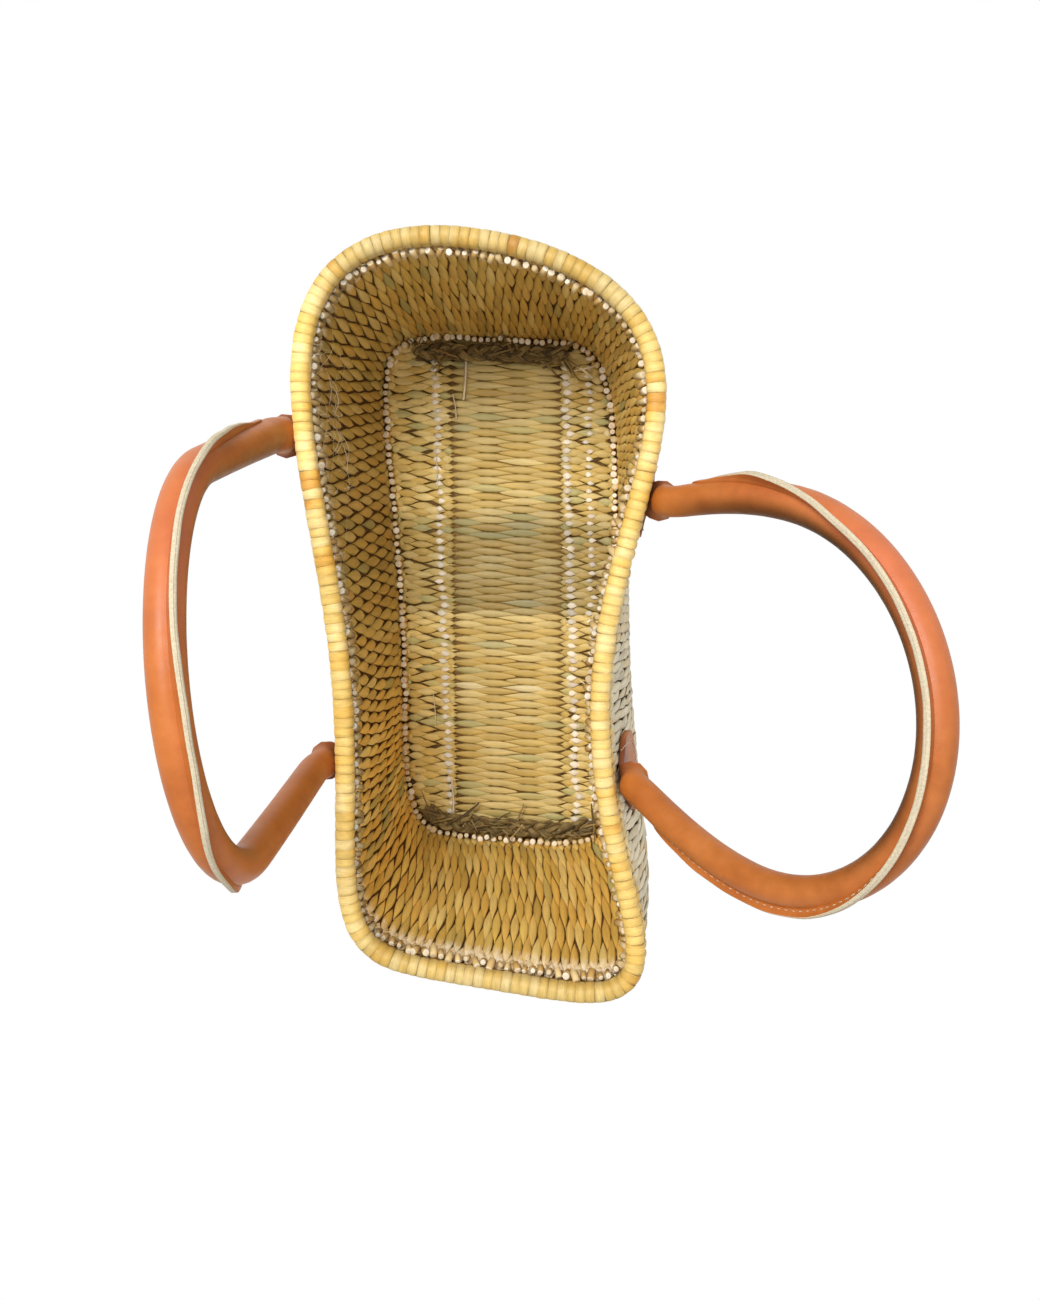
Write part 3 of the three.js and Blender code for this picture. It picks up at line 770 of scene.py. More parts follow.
class StageSettings(bpy.types.PropertyGroup):
    """The camera, lights and floor."""

    focal_length: FloatProperty(name="Focal length", description="Lens, for a 36 mm tall film",
                                default=37.385, unit="CAMERA")
    camera_place: FloatVectorProperty(name="Camera place", description="Where the photograph was taken from",
                                      default=(0.0844, 0.0446, 0.9125), size=3, subtype="XYZ", unit="LENGTH")
    camera_aim: FloatVectorProperty(name="Camera aim", size=3, default=(112.0, 125.0, -1350.0),
                                    description="The straight-down direction, as the camera sees it")


SETTINGS = {
    "basket_weave": WeaveSettings, "basket_rim": RimSettings, "basket_floor": FloorSettings,
    "basket_plaits": PlaitSettings, "basket_handles": HandleSettings, "basket_stage": StageSettings,
}


# The woven wall


def spread_shares(pitch, side_share):
    """Shares of the way round for an even number of reeds a pitch apart, wider apart on the left side."""
    fine = np.linspace(0, 1, 4001)
    left = np.clip(-outward_at(fine)[:, 0] - 0.35, 0, 0.5) / 0.5
    density = 1 / (pitch * (1 + (side_share - 1) * left))
    length = np.linalg.norm(np.diff(wall_point(fine, 100.0, 0), axis=0), axis=1)
    counted = np.concatenate([[0], np.cumsum(length * (density[1:] + density[:-1]) / 2)])
    count = int(round(counted[-1] / 2)) * 2
    return np.interp(np.arange(count) * counted[-1] / count, counted, fine)


def pale_part(share):
    """How far the reeds' upper ends are chalky and frayed: most on the left side and at the near end."""
    out = outward_at(share)
    return np.clip(smooth(-out[:, 0], 0.3, 0.8) + 0.95 * smooth(-out[:, 1], 0.4, 0.9)
                   + 0.55 * smooth(out[:, 0], 0.4, 0.9) + 0.3 * smooth(out[:, 1], 0.4, 0.9), 0, 1)


# Where on the left side the reeds lean most, by how much and how far round, as shares of the way round
LEAN_PLACE = RIM_OUTLINE.share_of(-1, -62)
LEAN_MOST = 0.022
LEAN_REACH = 0.085


def leaning(share, rise):
    """Shares moved so that the reeds near the left near corner run down toward the near end."""
    apart = (share - LEAN_PLACE + 0.5) % 1 - 0.5
    return share + LEAN_MOST * np.exp(-(apart / LEAN_REACH) ** 2) * (1 - rise / WALL_TOP)


# The lie of the wall's floats: how far they wander round the wall, as a share of the way round, and up it,
# how far each reaches past its weft, as a share of a row, and the lowest and the shortest that there may be
SHARE_WANDER = 0.00018
LEVEL_WANDER = 1.1
FLOAT_REACH = 0.9
LOWEST_FLOAT = 2.0
LEAST_INTERVAL = 8.0


def painted_wall_light(centre, outward):
    """Painted light: how much lighter the inner wall's reeds are on each side. The left one lightens toward
    its near end.
    """
    x, y = outward[:, 0], outward[:, 1]
    left = smooth(-x, 0.2, 0.9)
    return 0.04 * smooth(y, 0.2, 0.9) + 0.1 * smooth(-y, 0.2, 0.9) + 0.3 * smooth(x, 0.2, 0.9) \
        + (0.58 * smooth(-centre[:, 1], -20, 110) - 0.1) * left


def wall_guide(name, settings, side):
    """The crossings of reeds and wefts on one face of the wall. The side is 1 outside and -1 inside."""
    shares = spread_shares(settings.reed_pitch / METRES, settings.side_pitch_share)
    row, first = settings.row_height / METRES, settings.first_row / METRES
    rows = int((WALL_TOP - first) / row) + 1
    levels = first + row * (np.arange(rows + 1) - 1)
    strand, weft = np.meshgrid(np.arange(len(shares)), np.arange(rows + 1), indexing="ij")
    strand, weft = strand.ravel(), weft.ravel()
    rng = np.random.default_rng(settings.seed + side)
    share = shares[strand] + rng.normal(0, SHARE_WANDER, len(strand))
    rise = levels[weft] + rng.normal(0, LEVEL_WANDER, len(strand))
    top = np.minimum(rise + row * FLOAT_REACH, WALL_TOP + 1.0)
    bottom = np.maximum(rise - row * FLOAT_REACH, LOWEST_FLOAT)
    interval = np.clip((top - bottom) / (2 * FLOAT_REACH), LEAST_INTERVAL, row)
    rise = (top + bottom) / 2
    depth = side * (WALL_THICKNESS / 2 - settings.reed_thickness / METRES * 0.35)
    centre = wall_point(leaning(share, rise), rise, depth)
    above = wall_point(leaning(share, rise + 3), rise + 3, depth)
    along = unit(above - centre)
    gap = np.diff(np.concatenate([shares, [shares[0] + 1]]))
    before, after = [wall_point(leaning(share + way * gap[strand] / 2, rise), rise, depth) for way in (-1, 1)]
    facing = outward_at(share)
    narrow = smooth(-facing[:, 0], 0.3, 0.8) * (side < 0)
    pitch = 2 * np.linalg.norm(after - before, axis=1) * (1 - 0.1 * narrow)
    interval = interval * (1 - 0.12 * narrow)
    outward = facing * side
    outward = unit(outward - along * np.sum(outward * along, axis=1, keepdims=True))
    pale = pale_part(share) if side < 0 else 0.25
    # A little painted shade toward the bottom of both faces, less the inner face's painted light by side
    dark = 0.05 * smooth(1 - rise / WALL_TOP, 0.5, 1.0) - painted_wall_light(centre, facing) * (side < 0)
    return crossing_guide(name, centre, pitch, interval, along, outward, strand, weft, pale, dark)


REED_COLORS = palette((200, 168, 84, 5), (208, 178, 96, 4), (190, 156, 74, 4), (202, 162, 78, 4),
                      (214, 190, 118, 2), (178, 146, 70, 2), (170, 156, 92, 1.2), (158, 150, 94, 0.4))
OUTER_COLORS = palette((204, 192, 160, 4), (214, 202, 170, 3), (188, 178, 150, 3), (206, 182, 132, 2),
                       (168, 162, 136, 1))


def weave_wall(settings):
    """The floats of the wall, inside and outside."""
    inside = reed_material("inner_reed", REED_COLORS, chalk_from=(WALL_TOP - 22) * METRES)
    outside = reed_material("outer_reed", OUTER_COLORS, roughness=0.6)
    shape = float_shape(0.28)
    for side, name, material in ((-1, "inner_weave", inside), (1, "outer_weave", outside)):
        loose = 2.2 if side > 0 else 1.0
        piece = grow(wall_guide(name, settings, side), "weave", shape=shape, parity=(side + 1) // 2,
                     width_share=1.03, length_share=2 * FLOAT_REACH, thickness=settings.reed_thickness,
                     size_variation=0.045 * loose, turn_variation=(0.03 * loose, 0.08, 0.02 * loose),
                     seed=settings.seed + side, material=material)
        finish_piece(piece, "basket", "reed", "wall")


def packed_material(name, low, high):
    """The packed fibres between the reeds, mostly in shade, coloured dark as painted shade."""
    shader = Shader(name)
    spot = shader.noise(shader.place(), 420.0, 4.0)
    return shader.finish(shader.between(spot, low, high), 0.9, shader.bump(spot, 0.0006))


def packed_core(settings):
    """The dense middle of the weave, coloured dark as painted shade and seen only through the gaps, and the
    wefts inside it.
    """
    dark = packed_material("shaded_reed", (74, 50, 20), (118, 84, 38))
    shares = np.linspace(0, 1, 240, endpoint=False)
    half = settings.core_thickness / METRES / 2
    heights = np.linspace(0.2, WALL_TOP - 0.4, 15)
    profile = [(half, z) for z in heights] + [(-half, z) for z in heights[::-1]]
    points = np.concatenate([wall_point(shares, z, offset) for offset, z in profile])
    faces = grid_faces(len(profile), len(shares), close_rows=True)
    core = outwards(make_object("weave_core", points, faces, materials=[dark]))
    finish_piece(core, "basket", "reed")
    row, first = settings.row_height / METRES, settings.first_row / METRES
    weft_lines, edges = [], []
    for level in np.arange(first, WALL_TOP - 3, row):
        start = len(weft_lines) * len(shares)
        weft_lines.append(wall_point(shares, level, 0.0))
        edges += [(start + k, start + (k + 1) % len(shares)) for k in range(len(shares))]
    points = np.concatenate(weft_lines)
    guide = make_object("wall_wefts", points, edges=edges, seed=np.zeros(len(points)),
                        thickness=np.full(len(points), settings.weft_thickness))
    finish_piece(grow(guide, "fibres", flatness=1.0, sides=6, material=dark), "basket", "reed")


# The rim


def ring_guide(name, shares, z, offset, lean=0.0, painted_shade=0.0):
    """A closed path round the wall, with its outward directions and the painted shade of its pieces, lighter
    below 0.
    """
    points = wall_point(shares, z, offset)
    count = len(shares)
    return make_object(name, points, edges=[(k, (k + 1) % count) for k in range(count)],
                       outward=unit(outward_at(shares, WALL_TOP) + np.array([0, 0, lean])),
                       pale=np.zeros(count), dark=np.zeros(count) + painted_shade)


STRAW_COLORS = palette((208, 156, 62, 2), (222, 178, 84, 2.5), (216, 180, 96, 2.5), (224, 190, 108, 3),
                       (230, 204, 138, 2.5), (224, 184, 92, 2.2), (204, 148, 62, 1.5))


def wind_rim(settings):
    """The straw wound round the rim, the row of bulges under it outside, and the look of the hoop."""
    straw = reed_material("straw", STRAW_COLORS, roughness=0.48, drift=0.6, sides=1.0)
    outer = RIM_WIDTH / 2
    lip = (outer + WALL_THICKNESS / 2 + FIT_GAP) / 2
    shape = wrap_shape(outer, settings.skirt / METRES, lip, 0.45)
    shares = np.linspace(0, 1, 720, endpoint=False)
    facing = outward_at(shares)
    # Painted shade on the rim's far and near ends and painted light on its left side
    painted_shade = 0.3 * smooth(facing[:, 1], 0, 0.9) + 0.24 * smooth(-facing[:, 1], 0.3, 0.9) \
        - 0.12 * smooth(-facing[:, 0], 0.5, 1.0)
    guide = ring_guide("rim_straw", shares, RIM_CENTRE, 0.0, painted_shade=painted_shade)
    count = settings.wrap_count
    pitch = RIM_OUTLINE.length / count
    piece = grow(guide, "row", shape=shape, count=count,
                 size=(1.0, pitch * settings.wrap_lap, 1.0), size_variation=0.018,
                 turn_variation=(0.03, 0.03, 0.07), shift=(0.0001, 0.00005, 0.0001), seed=settings.seed,
                 material=straw)
    finish_piece(piece, "basket", "straw", "rim_binding")
    rng = np.random.default_rng(settings.seed + 9)
    shares = np.arange(count) / count + rng.normal(0, 0.0003, count)
    level = RIM_CENTRE - 7.6 + rng.normal(0, 0.5, count)
    points = wall_point(shares, level, outer - 1.0 + rng.normal(0, 0.2, count))
    along = wall_point(shares + 0.0012, level + 9, 0) - wall_point(shares, level, 0)
    lumps = crossing_guide("rim_lumps", points, pitch, 8.8, along, outward_at(shares, WALL_TOP),
                           dark=rng.uniform(0, 0.2, count))
    lumps = grow(lumps, "weave", shape=float_shape(0.6), parity=0, width_share=1.1, length_share=1.0,
                 thickness=3.4 * METRES, size_variation=0.1, turn_variation=(0.08, 0.1, 0.1),
                 seed=settings.seed + 4, material=straw)
    finish_piece(lumps, "basket", "straw")
    shader = Shader("core_reed")
    lines = shader.streaks(shader.place(), (300, 300, 900), 3.0)
    paint_node("rim_core", shader.finish(shader.between(lines, (160, 120, 60), (205, 168, 98)), 0.7,
                                         shader.bump(lines, 0.0003)))


def paint_node(node, material):
    """Gives a frame node's object a finished material."""
    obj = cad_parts[node]
    obj.data.materials.clear()
    obj.data.materials.append(material)
    for slot in obj.material_slots:
        slot.material = material


def pith_material():
    """Cut ends: the reed's own colour at the side and white pith on top."""
    shader = Shader("cut_pith")
    seed = shader.attribute("seed")
    side = shader.ramp(seed, palette((206, 172, 108), (188, 150, 86), (216, 190, 136)))
    white = shader.ramp(seed, palette((238, 234, 222), (228, 218, 198), (214, 200, 172), (242, 240, 232),
                                      (196, 176, 140)))
    soft = shader.streaks(shader.grain(), (3.0, 3.0, 1.0), 4.0)
    white = shader.shade(white, shader.spread(soft, 0.86, 1.05))
    color = shader.darken(shader.mix(shader.attribute("pith"), side, white))
    return shader.finish(color, 0.85, shader.bump(soft, 0.0004, 0.8))


def place_stubs(guide, count, size, tilt, seed, material, *replaced):
    """A row of cut ends along a closed path. The size is in millimetres, the tilt in radians."""
    piece = grow(guide, "row", shape=stub_shape(), count=count, size=tuple(value * METRES for value in size),
                 size_variation=0.24, turn_variation=tilt, shift=(0.18, 0.18, 0.22), seed=seed,
                 material=material)
    finish_piece(piece, "basket", "pith", *replaced)


def edge_stubs(rim_settings, floor_settings):
    """The rows of cut reed ends: just inside the rim, and round the inside corner of the floor."""
    pith = pith_material()
    shares = np.linspace(0, 1, 720, endpoint=False)
    facing = outward_at(shares)
    set_in = RIM_WIDTH / 2 + 0.1 + STUB_DIAMETER / 2 - 1.3 * smooth(np.abs(facing[:, 0]), 0.5, 0.95)
    # Painted shade on the cut ends at the left side, a little painted light elsewhere
    painted_shade = 0.42 * smooth(-facing[:, 0], 0.2, 0.8) + 0.1 * smooth(facing[:, 0], 0.4, 0.9) - 0.04
    guide = ring_guide("rim_cut_ends", shares, RIM_CENTRE - STUB_DIAMETER - 0.8, -set_in, lean=-0.35,
                       painted_shade=painted_shade)
    count = round(RIM_OUTLINE.length / (rim_settings.stub_pitch / METRES))
    place_stubs(guide, count, (3.8, 3.5, 5.4), (0.5, 0.5, 0.3), rim_settings.seed + 2, pith, "rim_stubs")
    # The ragged ends lie deeper under the rim and get more painted shade
    guide = ring_guide("rim_ragged_ends", shares, RIM_CENTRE - STUB_DIAMETER - 5.2, 1.6 - set_in, lean=-0.8,
                       painted_shade=painted_shade + 0.12)
    place_stubs(guide, round(count * 0.9), (2.9, 2.5, 4.6), (0.8, 0.8, 0.6), rim_settings.seed + 8, pith)
    set_in = WALL_THICKNESS / 2 + STUB_DIAMETER / 2 - 0.4
    # Painted light on the floor's cut ends
    guide = ring_guide("floor_cut_ends", shares, LAP_TOP + FIT_GAP + STUB_DIAMETER / 2, -set_in, painted_shade=-0.35)
    count = round(FLOOR_OUTLINE.length / (floor_settings.stub_pitch / METRES))
    place_stubs(guide, count, (4.0, 3.8, 4.8), (0.22, 0.22, 0.3), floor_settings.seed + 2, pith,
                "floor_edge_stubs")


# The floor


FLOOR_EDGE = wall_point(np.linspace(0, 1, 2400, endpoint=False), 3.0, -WALL_THICKNESS / 2 - FIT_GAP)


def floor_limits(y):
    """Where the floor ends to the left and to the right at places along the basket."""
    limits = []
    for side in (-1, 1):
        points = FLOOR_EDGE[FLOOR_EDGE[:, 0] * side > 0]
        points = points[np.argsort(points[:, 1])]
        limits.append(np.interp(y, points[:, 1], points[:, 0]))
    return limits


def floor_range():
    """Where the floor's first and last reeds lie."""
    return FLOOR_EDGE[:, 1].min() + 1.5, FLOOR_EDGE[:, 1].max() - 1.5


# How the floor's reeds slope and its cords drift along it, how far a float reaches past its cord, as a share
# of a row, and the shortest float
FLOOR_SLOPE = 0.05
FLOOR_DRIFT = 0.024
FLOOR_REACH = 0.88
SHORTEST_FLOAT = 3.5

FLOOR_COLORS = palette((198, 175, 108, 4), (205, 184, 121, 4), (191, 165, 93, 4), (186, 156, 80, 1.5),
                       (180, 168, 107, 1.6), (168, 160, 104, 0.8), (212, 196, 146, 1.2))


def floor_light_and_shade(x, y):
    """Painted shade in a band across the middle of the floor, ending at a sharp line on its near side, and
    painted light toward both sides.
    """
    shaded_band = smooth(y, -17, -13) * (1 - smooth(y, 38, 66))
    side = smooth(-x, 30, 52) * 0.36 + smooth(x, 36, 50) * 0.1
    return 0.38 * shaded_band + 0.02 - side


def floor_guide(name, left, right, rows, pitch, level, facing, seed, wander):
    """The crossings of a floor piece between two edges. Rows are the places across of its hidden cords."""
    low, high = floor_range()
    count = int((high - low) / pitch / 2) * 2
    ys = np.linspace(low + pitch / 2, high - pitch / 2, count)
    strand, weft = np.meshgrid(np.arange(count), np.arange(len(rows)), indexing="ij")
    strand, weft = strand.ravel(), weft.ravel()
    rng = np.random.default_rng(seed)
    y = ys[strand] + rng.normal(0, 0.12, len(strand)) * wander
    x = rows[weft] - FLOOR_DRIFT * y + rng.normal(0, 0.8, len(strand)) * wander
    limits = floor_limits(y)
    reach = abs(rows[1] - rows[0]) * FLOOR_REACH
    start = np.maximum(x - reach, limits[0] if left is None else np.maximum(limits[0], left))
    stop = np.minimum(x + reach, limits[1] if right is None else np.minimum(limits[1], right))
    kept = stop - start > SHORTEST_FLOAT
    x, y = ((start + stop) / 2)[kept], y[kept]
    points = np.stack([x, y - FLOOR_SLOPE * x, np.full(len(x), level)], axis=1)
    interval = ((stop - start) / (2 * FLOOR_REACH))[kept]
    # The floats carry the floor's painted light and shade in their dark attribute
    return crossing_guide(name, points, 2 * (ys[1] - ys[0]), interval, unit([1, -FLOOR_SLOPE, 0]),
                          (0.0, 0.0, facing), strand[kept], weft[kept],
                          dark=floor_light_and_shade(points[:, 0], points[:, 1]))


def weave_floor(settings, shape):
    """The middle mat and the two side laps, woven on top and underneath, over a dark packed middle."""
    material = reed_material("floor_reed", FLOOR_COLORS)
    pitch = settings.reed_pitch / METRES
    mat_row, lap_row = settings.mat_row / METRES, settings.lap_row / METRES
    centre = sum(MAT_EDGES) / 2
    mat_rows = centre + mat_row * (np.arange(4) - 1.5)
    left_rows = MAT_EDGES[0] - lap_row * np.arange(5)
    right_rows = MAT_EDGES[1] + lap_row * np.arange(5)
    parts = [
        ("mat_weave", "floor_mat", MAT_EDGES[0] - 6, MAT_EDGES[1] + 6, mat_rows, MAT_TOP, 1.8),
        ("left_lap_weave", "floor_lap_left", None, MAT_EDGES[0], left_rows, LAP_TOP, 1.75),
        ("right_lap_weave", "floor_lap_right", MAT_EDGES[1], None, right_rows, LAP_TOP, 1.75),
    ]
    for name, node, left, right, rows, top, share in parts:
        wander = 1.0 if node == "floor_mat" else 2.4
        for facing, level, word in ((1, top - 0.9, "top"), (-1, 0.9, "under")):
            guide = floor_guide(f"{name}_{word}", left, right, rows, pitch, level, facing, settings.seed,
                                wander)
            piece = grow(guide, "weave", shape=shape, parity=(facing + 1) // 2, width_share=1.06,
                         length_share=share, thickness=1.8 * METRES, size_variation=0.05 * wander,
                         turn_variation=(0.02 * wander, 0.06, 0.015 * wander), seed=settings.seed + facing,
                         material=material)
            finish_piece(piece, "basket", "floor_reed", node)
    shares = np.linspace(0, 1, 240, endpoint=False)
    rings = []
    for level, offset, scale in ((1.3, -0.5, 0.002), (1.3, -0.5, 1.0), (3.9, -0.5, 1.0), (3.9, -0.5, 0.002)):
        ring = wall_point(shares, level, offset) * scale
        ring[:, 2] = level
        rings.append(ring)
    # The floor's packed middle, coloured dark as painted shade
    core = outwards(make_object("floor_core", np.concatenate(rings), tube_faces(len(rings), len(shares)),
                                materials=[packed_material("packed_floor", (96, 72, 36), (142, 112, 62))]))
    finish_piece(core, "basket", "floor_reed")


def floor_cut_ends(settings):
    """Whitish cut ends that stand up through the laps beside the mat, and the loose reeds on the floor."""
    chalk = reed_material("chalky_end", palette((240, 228, 204, 3), (228, 208, 168), (246, 240, 226, 2)),
                          roughness=0.75)
    rng = np.random.default_rng(settings.seed + 30)
    low, high = floor_range()
    shape = float_shape(0.35)
    for name, x_far, x_near, share in (("left_lap_ends", -48.0, -38.5, 0.8),
                                       ("right_lap_ends", 39.5, 47.5, 1.0),
                                       ("right_edge_ends", 55.0, 60.0, 0.45)):
        count = int((high - low - 28) / 5.25)
        ys = np.linspace(high - 14, low + 14, count) + rng.normal(0, 0.3, count)
        x = np.interp(ys, [low, high], [x_near, x_far]) + rng.normal(0, 0.9, count)
        points = np.stack([x, ys, np.full(count, LAP_TOP + 0.15) + rng.normal(0, 0.2, count)], axis=1)
        # Chance darkening of each cut end, plus half the floor's painted light and shade
        fade_and_shade = rng.uniform(0, 0.3, count) + floor_light_and_shade(points[:, 0], points[:, 1]) * 0.5
        size = 0.6 + 0.4 * share
        guide = crossing_guide(name, points, 4.9 * size, 8.2 * size, unit([1, -FLOOR_SLOPE, 0.12]),
                               unit([-0.12, 0, 1]), pale=share, dark=fade_and_shade)
        piece = grow(guide, "weave", shape=shape, parity=0, width_share=0.95, length_share=1.0,
                     thickness=2.2 * METRES, size_variation=0.16, turn_variation=(0.2, 0.25, 0.16),
                     seed=settings.seed + 5, material=chalk)
        finish_piece(piece, "basket", "pith")


# Plaits of grass


def fibre_object(name, lines):
    """Lines of points with a thickness, a turn and a seed for each."""
    points, edges, thickness, turn, seed = [], [], [], [], []
    for line in lines:
        start = len(points)
        count = len(line["points"])
        points += list(line["points"])
        edges += [(start + k, start + k + 1) for k in range(count - 1)]
        thickness += list(np.broadcast_to(line["thickness"], count) * METRES)
        turn += list(np.broadcast_to(line.get("turn", 0.0), count))
        seed += [line["seed"]] * count
    return make_object(name, np.array(points), edges=edges, thickness=np.array(thickness, float),
                       turn=np.array(turn, float), seed=np.array(seed, float))


def fibre_material(name, stops):
    """Blades and threads: a colour for each, streaked along its run."""
    shader = Shader(name)
    seed = shader.attribute("seed")
    apart = shader.add("ShaderNodeCombineXYZ", X=seed, Y=shader.math("MULTIPLY", seed, 7.0), Z=0.0)
    place = shader.add("ShaderNodeVectorMath", {"operation": "ADD"}, i0=shader.place(), i1=apart)
    fine, patch = shader.noise(place, 900.0, 3.0), shader.noise(place, 90.0, 2.0)
    color = shader.ramp(seed, stops)
    for noise in (fine, patch):
        color = shader.shade(color, shader.spread(noise, 0.8, 1.15))
    return shader.finish(color, 0.75, shader.bump(fine, 0.0002))


GRASS_COLORS = palette((104, 86, 50, 3), (150, 128, 78, 2), (120, 102, 60, 3), (70, 54, 28, 2.5),
                       (176, 150, 94, 0.8))


def plait_line(is_far, span):
    """The middle line of a plait, along one end of the floor."""
    set_in = WALL_THICKNESS / 2 + FIT_GAP + STUB_DIAMETER + FIT_GAP + PLAIT_WIDTH / 2
    shares = np.linspace(0, 1, 1200, endpoint=False)
    points = wall_point(shares, LAP_TOP + FIT_GAP + PLAIT_HEIGHT / 2, -set_in)
    kept = points[((points[:, 1] > 0) == is_far) & (points[:, 0] > span[0]) & (points[:, 0] < span[1])]
    return kept[np.argsort(kept[:, 0])]


# A plait's strands and the blades in each, how far the strands swing aside and up, and how far a strand's
# blades lie apart
PLAIT_STRANDS = 3
STRAND_BLADES = 4
SWING_ASIDE = 3.6
SWING_UP = 1.6
BLADE_SPREAD = 2.0
LOOSE_STEPS = 7


def plait_grass(settings):
    """Three strands of four blades in each plait, and the loose blades that stand off it."""
    grass = fibre_material("dry_grass", GRASS_COLORS)
    for name, node, is_far, span in PLAITS:
        rng = np.random.default_rng(settings.seed + (1 if is_far else 2))
        middle = plait_line(is_far, span)
        run = np.concatenate([[0], np.cumsum(np.linalg.norm(np.diff(middle, axis=0), axis=1))])
        stations = np.arange(0, run[-1], 1.1)
        centre = np.stack([np.interp(stations, run, middle[:, k]) for k in range(3)], axis=1)
        tangent = unit(np.gradient(centre, axis=0))
        sideways = unit(np.cross([0, 0, 1.0], tangent))
        lines = []
        for strand in range(PLAIT_STRANDS):
            phase = 2 * math.pi * (stations / (settings.cross_length / METRES) + strand / PLAIT_STRANDS)
            for blade in range(STRAND_BLADES):
                spread = (2 * blade / (STRAND_BLADES - 1) - 1) * BLADE_SPREAD
                drift = rng.normal(0, 0.35) + 0.55 * np.sin(stations / rng.uniform(6, 12) + rng.uniform(0, 6))
                aside = SWING_ASIDE * np.sin(phase) + spread * np.cos(phase) + drift
                rise = SWING_UP * np.sin(2 * phase) + rng.uniform(-1.0, 1.0)
                rise = rise + 0.5 * np.sin(stations / 5 + blade)
                points = centre + sideways * aside[:, None] + np.array([0, 0, 1.0]) * rise[:, None]
                cut = rng.integers(0, 4)
                lines.append(dict(points=points[cut:len(points) - rng.integers(1, 5)],
                                  thickness=settings.blade_width / METRES * rng.uniform(0.75, 1.2),
                                  turn=rng.normal(0, 0.5), seed=rng.uniform()))
        for _ in range(settings.loose_blades):
            k = rng.integers(0, len(stations))
            heading = tangent[k] * rng.choice([-1, 1]) * rng.uniform(0.4, 1.0) \
                + sideways[k] * rng.normal(0, 0.55) + np.array([0, 0, rng.uniform(-0.05, 0.45)])
            length = rng.uniform(6, 19)
            steps = np.linspace(0, 1, LOOSE_STEPS)[:, None]
            sag = np.array([0, 0, -1.0]) * steps ** 2 * rng.uniform(0, 5)
            start = centre[k] + sideways[k] * rng.uniform(-4, 4) + np.array([0, 0, rng.uniform(0.5, 3.2)])
            shake = rng.normal(0, 0.25, (LOOSE_STEPS, 3))
            points = start + unit(heading) * steps * length + sag + shake * steps
            points[:, 2] = np.maximum(points[:, 2], LAP_TOP + 0.4)
            taper = np.linspace(1, 0.3, LOOSE_STEPS)
            lines.append(dict(points=points, thickness=rng.uniform(1.2, 3.4) * taper,
                              turn=rng.uniform(-0.8, 0.8), seed=rng.uniform()))
        piece = grow(fibre_object(name, lines), "fibres", flatness=0.24, sides=6, material=grass)
        finish_piece(piece, "basket", "grass", node)


def rim_chips(rng):
    """Broken tips and chips that hang under the rim, fewest on the right side."""
    lines = []
    for _ in range(420):
        share = rng.uniform()
        out = outward_at(share)
        if rng.uniform() > 0.35 + 0.65 * max(out[1], -out[0], -out[1] * 0.7):
            continue
        level = WALL_TOP - rng.uniform(3, 22) * (0.5 + 0.5 * rng.uniform())
        lean = np.array([rng.normal(0, 0.5), rng.normal(0, 1.0)])
        steps = np.linspace(0, 1, 5)
        length = rng.uniform(3, 9)
        spots = share + lean[0] * length * steps / RIM_OUTLINE.length
        depth = -3.4 - rng.uniform(0, 1.2) - np.sin(steps * rng.uniform(0.5, 1.8)) * rng.uniform(0.3, 2.2)
        points = wall_point(spots, level + lean[1] * length * 0.5 * steps, depth)
        lines.append(dict(points=points, thickness=rng.uniform(0.35, 1.5) * np.linspace(1, 0.4, 5),
                          turn=rng.uniform(-1.5, 1.5), seed=rng.uniform(0, 1)))
    return lines


def wall_fuzz(rng):
    """Fine fibres that stand off the left wall."""
    lines = []
    middle = RIM_OUTLINE.share_of(-1, 100.0)
    for _ in range(60):
        steps = np.linspace(0, 1, 7)
        share = middle + rng.normal(0, 0.022) + steps * rng.normal(0, 0.012)
        level = rng.uniform(120, 172) + steps * rng.normal(0, 14)
        points = wall_point(share, level, -3.6 - np.sin(steps * math.pi) * rng.uniform(0.5, 4.5))
        lines.append(dict(points=points, thickness=rng.uniform(0.18, 0.5), turn=rng.uniform(-1.5, 1.5),
                          seed=rng.uniform(0.5, 1)))
    return lines


# Reeds that lie on the floor: both ends and the width of each, in millimetres
STRAYS = (((-26, 158), (-28, 128), 1.7), ((-38, -128), (-37, -156), 1.5), ((44, 152), (58, 141), 1.6),
          ((46, 146), (60, 149), 1.3), ((-35, 132), (-33, 116), 0.9), ((-47, 96), (-46, 70), 0.7),
          ((38, 30), (46, 26), 0.8), ((50, -60), (58, -66), 0.8), ((-50, -70), (-49, -92), 0.7))


def stray_reeds():
    """Reeds that lie loose on the floor."""
    lines = []
    for (x0, y0), (x1, y1), width in STRAYS:
        steps = np.linspace(0, 1, 8)
        points = np.stack([x0 + (x1 - x0) * steps + np.sin(steps * 3) * 0.8, y0 + (y1 - y0) * steps,
                           LAP_TOP + 1.2 + 1.5 * np.sin(steps * math.pi)], axis=1)
        lines.append(dict(points=points, thickness=width, turn=0.2, seed=0.95))
    return lines


def loose_fibres(settings):
    """All that has broken off or frayed: chips, fuzz and stray reeds."""
    rng = np.random.default_rng(settings.seed + 50)
    lines = rim_chips(rng) + wall_fuzz(rng) + stray_reeds()
    chaff = fibre_material("dry_chaff", palette((200, 164, 98, 3), (226, 200, 146, 3), (168, 128, 66, 2),
                                                (236, 222, 190, 3)))
    piece = grow(fibre_object("loose_fibres", lines), "fibres", flatness=0.35, sides=5, material=chaff)
    finish_piece(piece, "basket", "straw")


# Leather handles


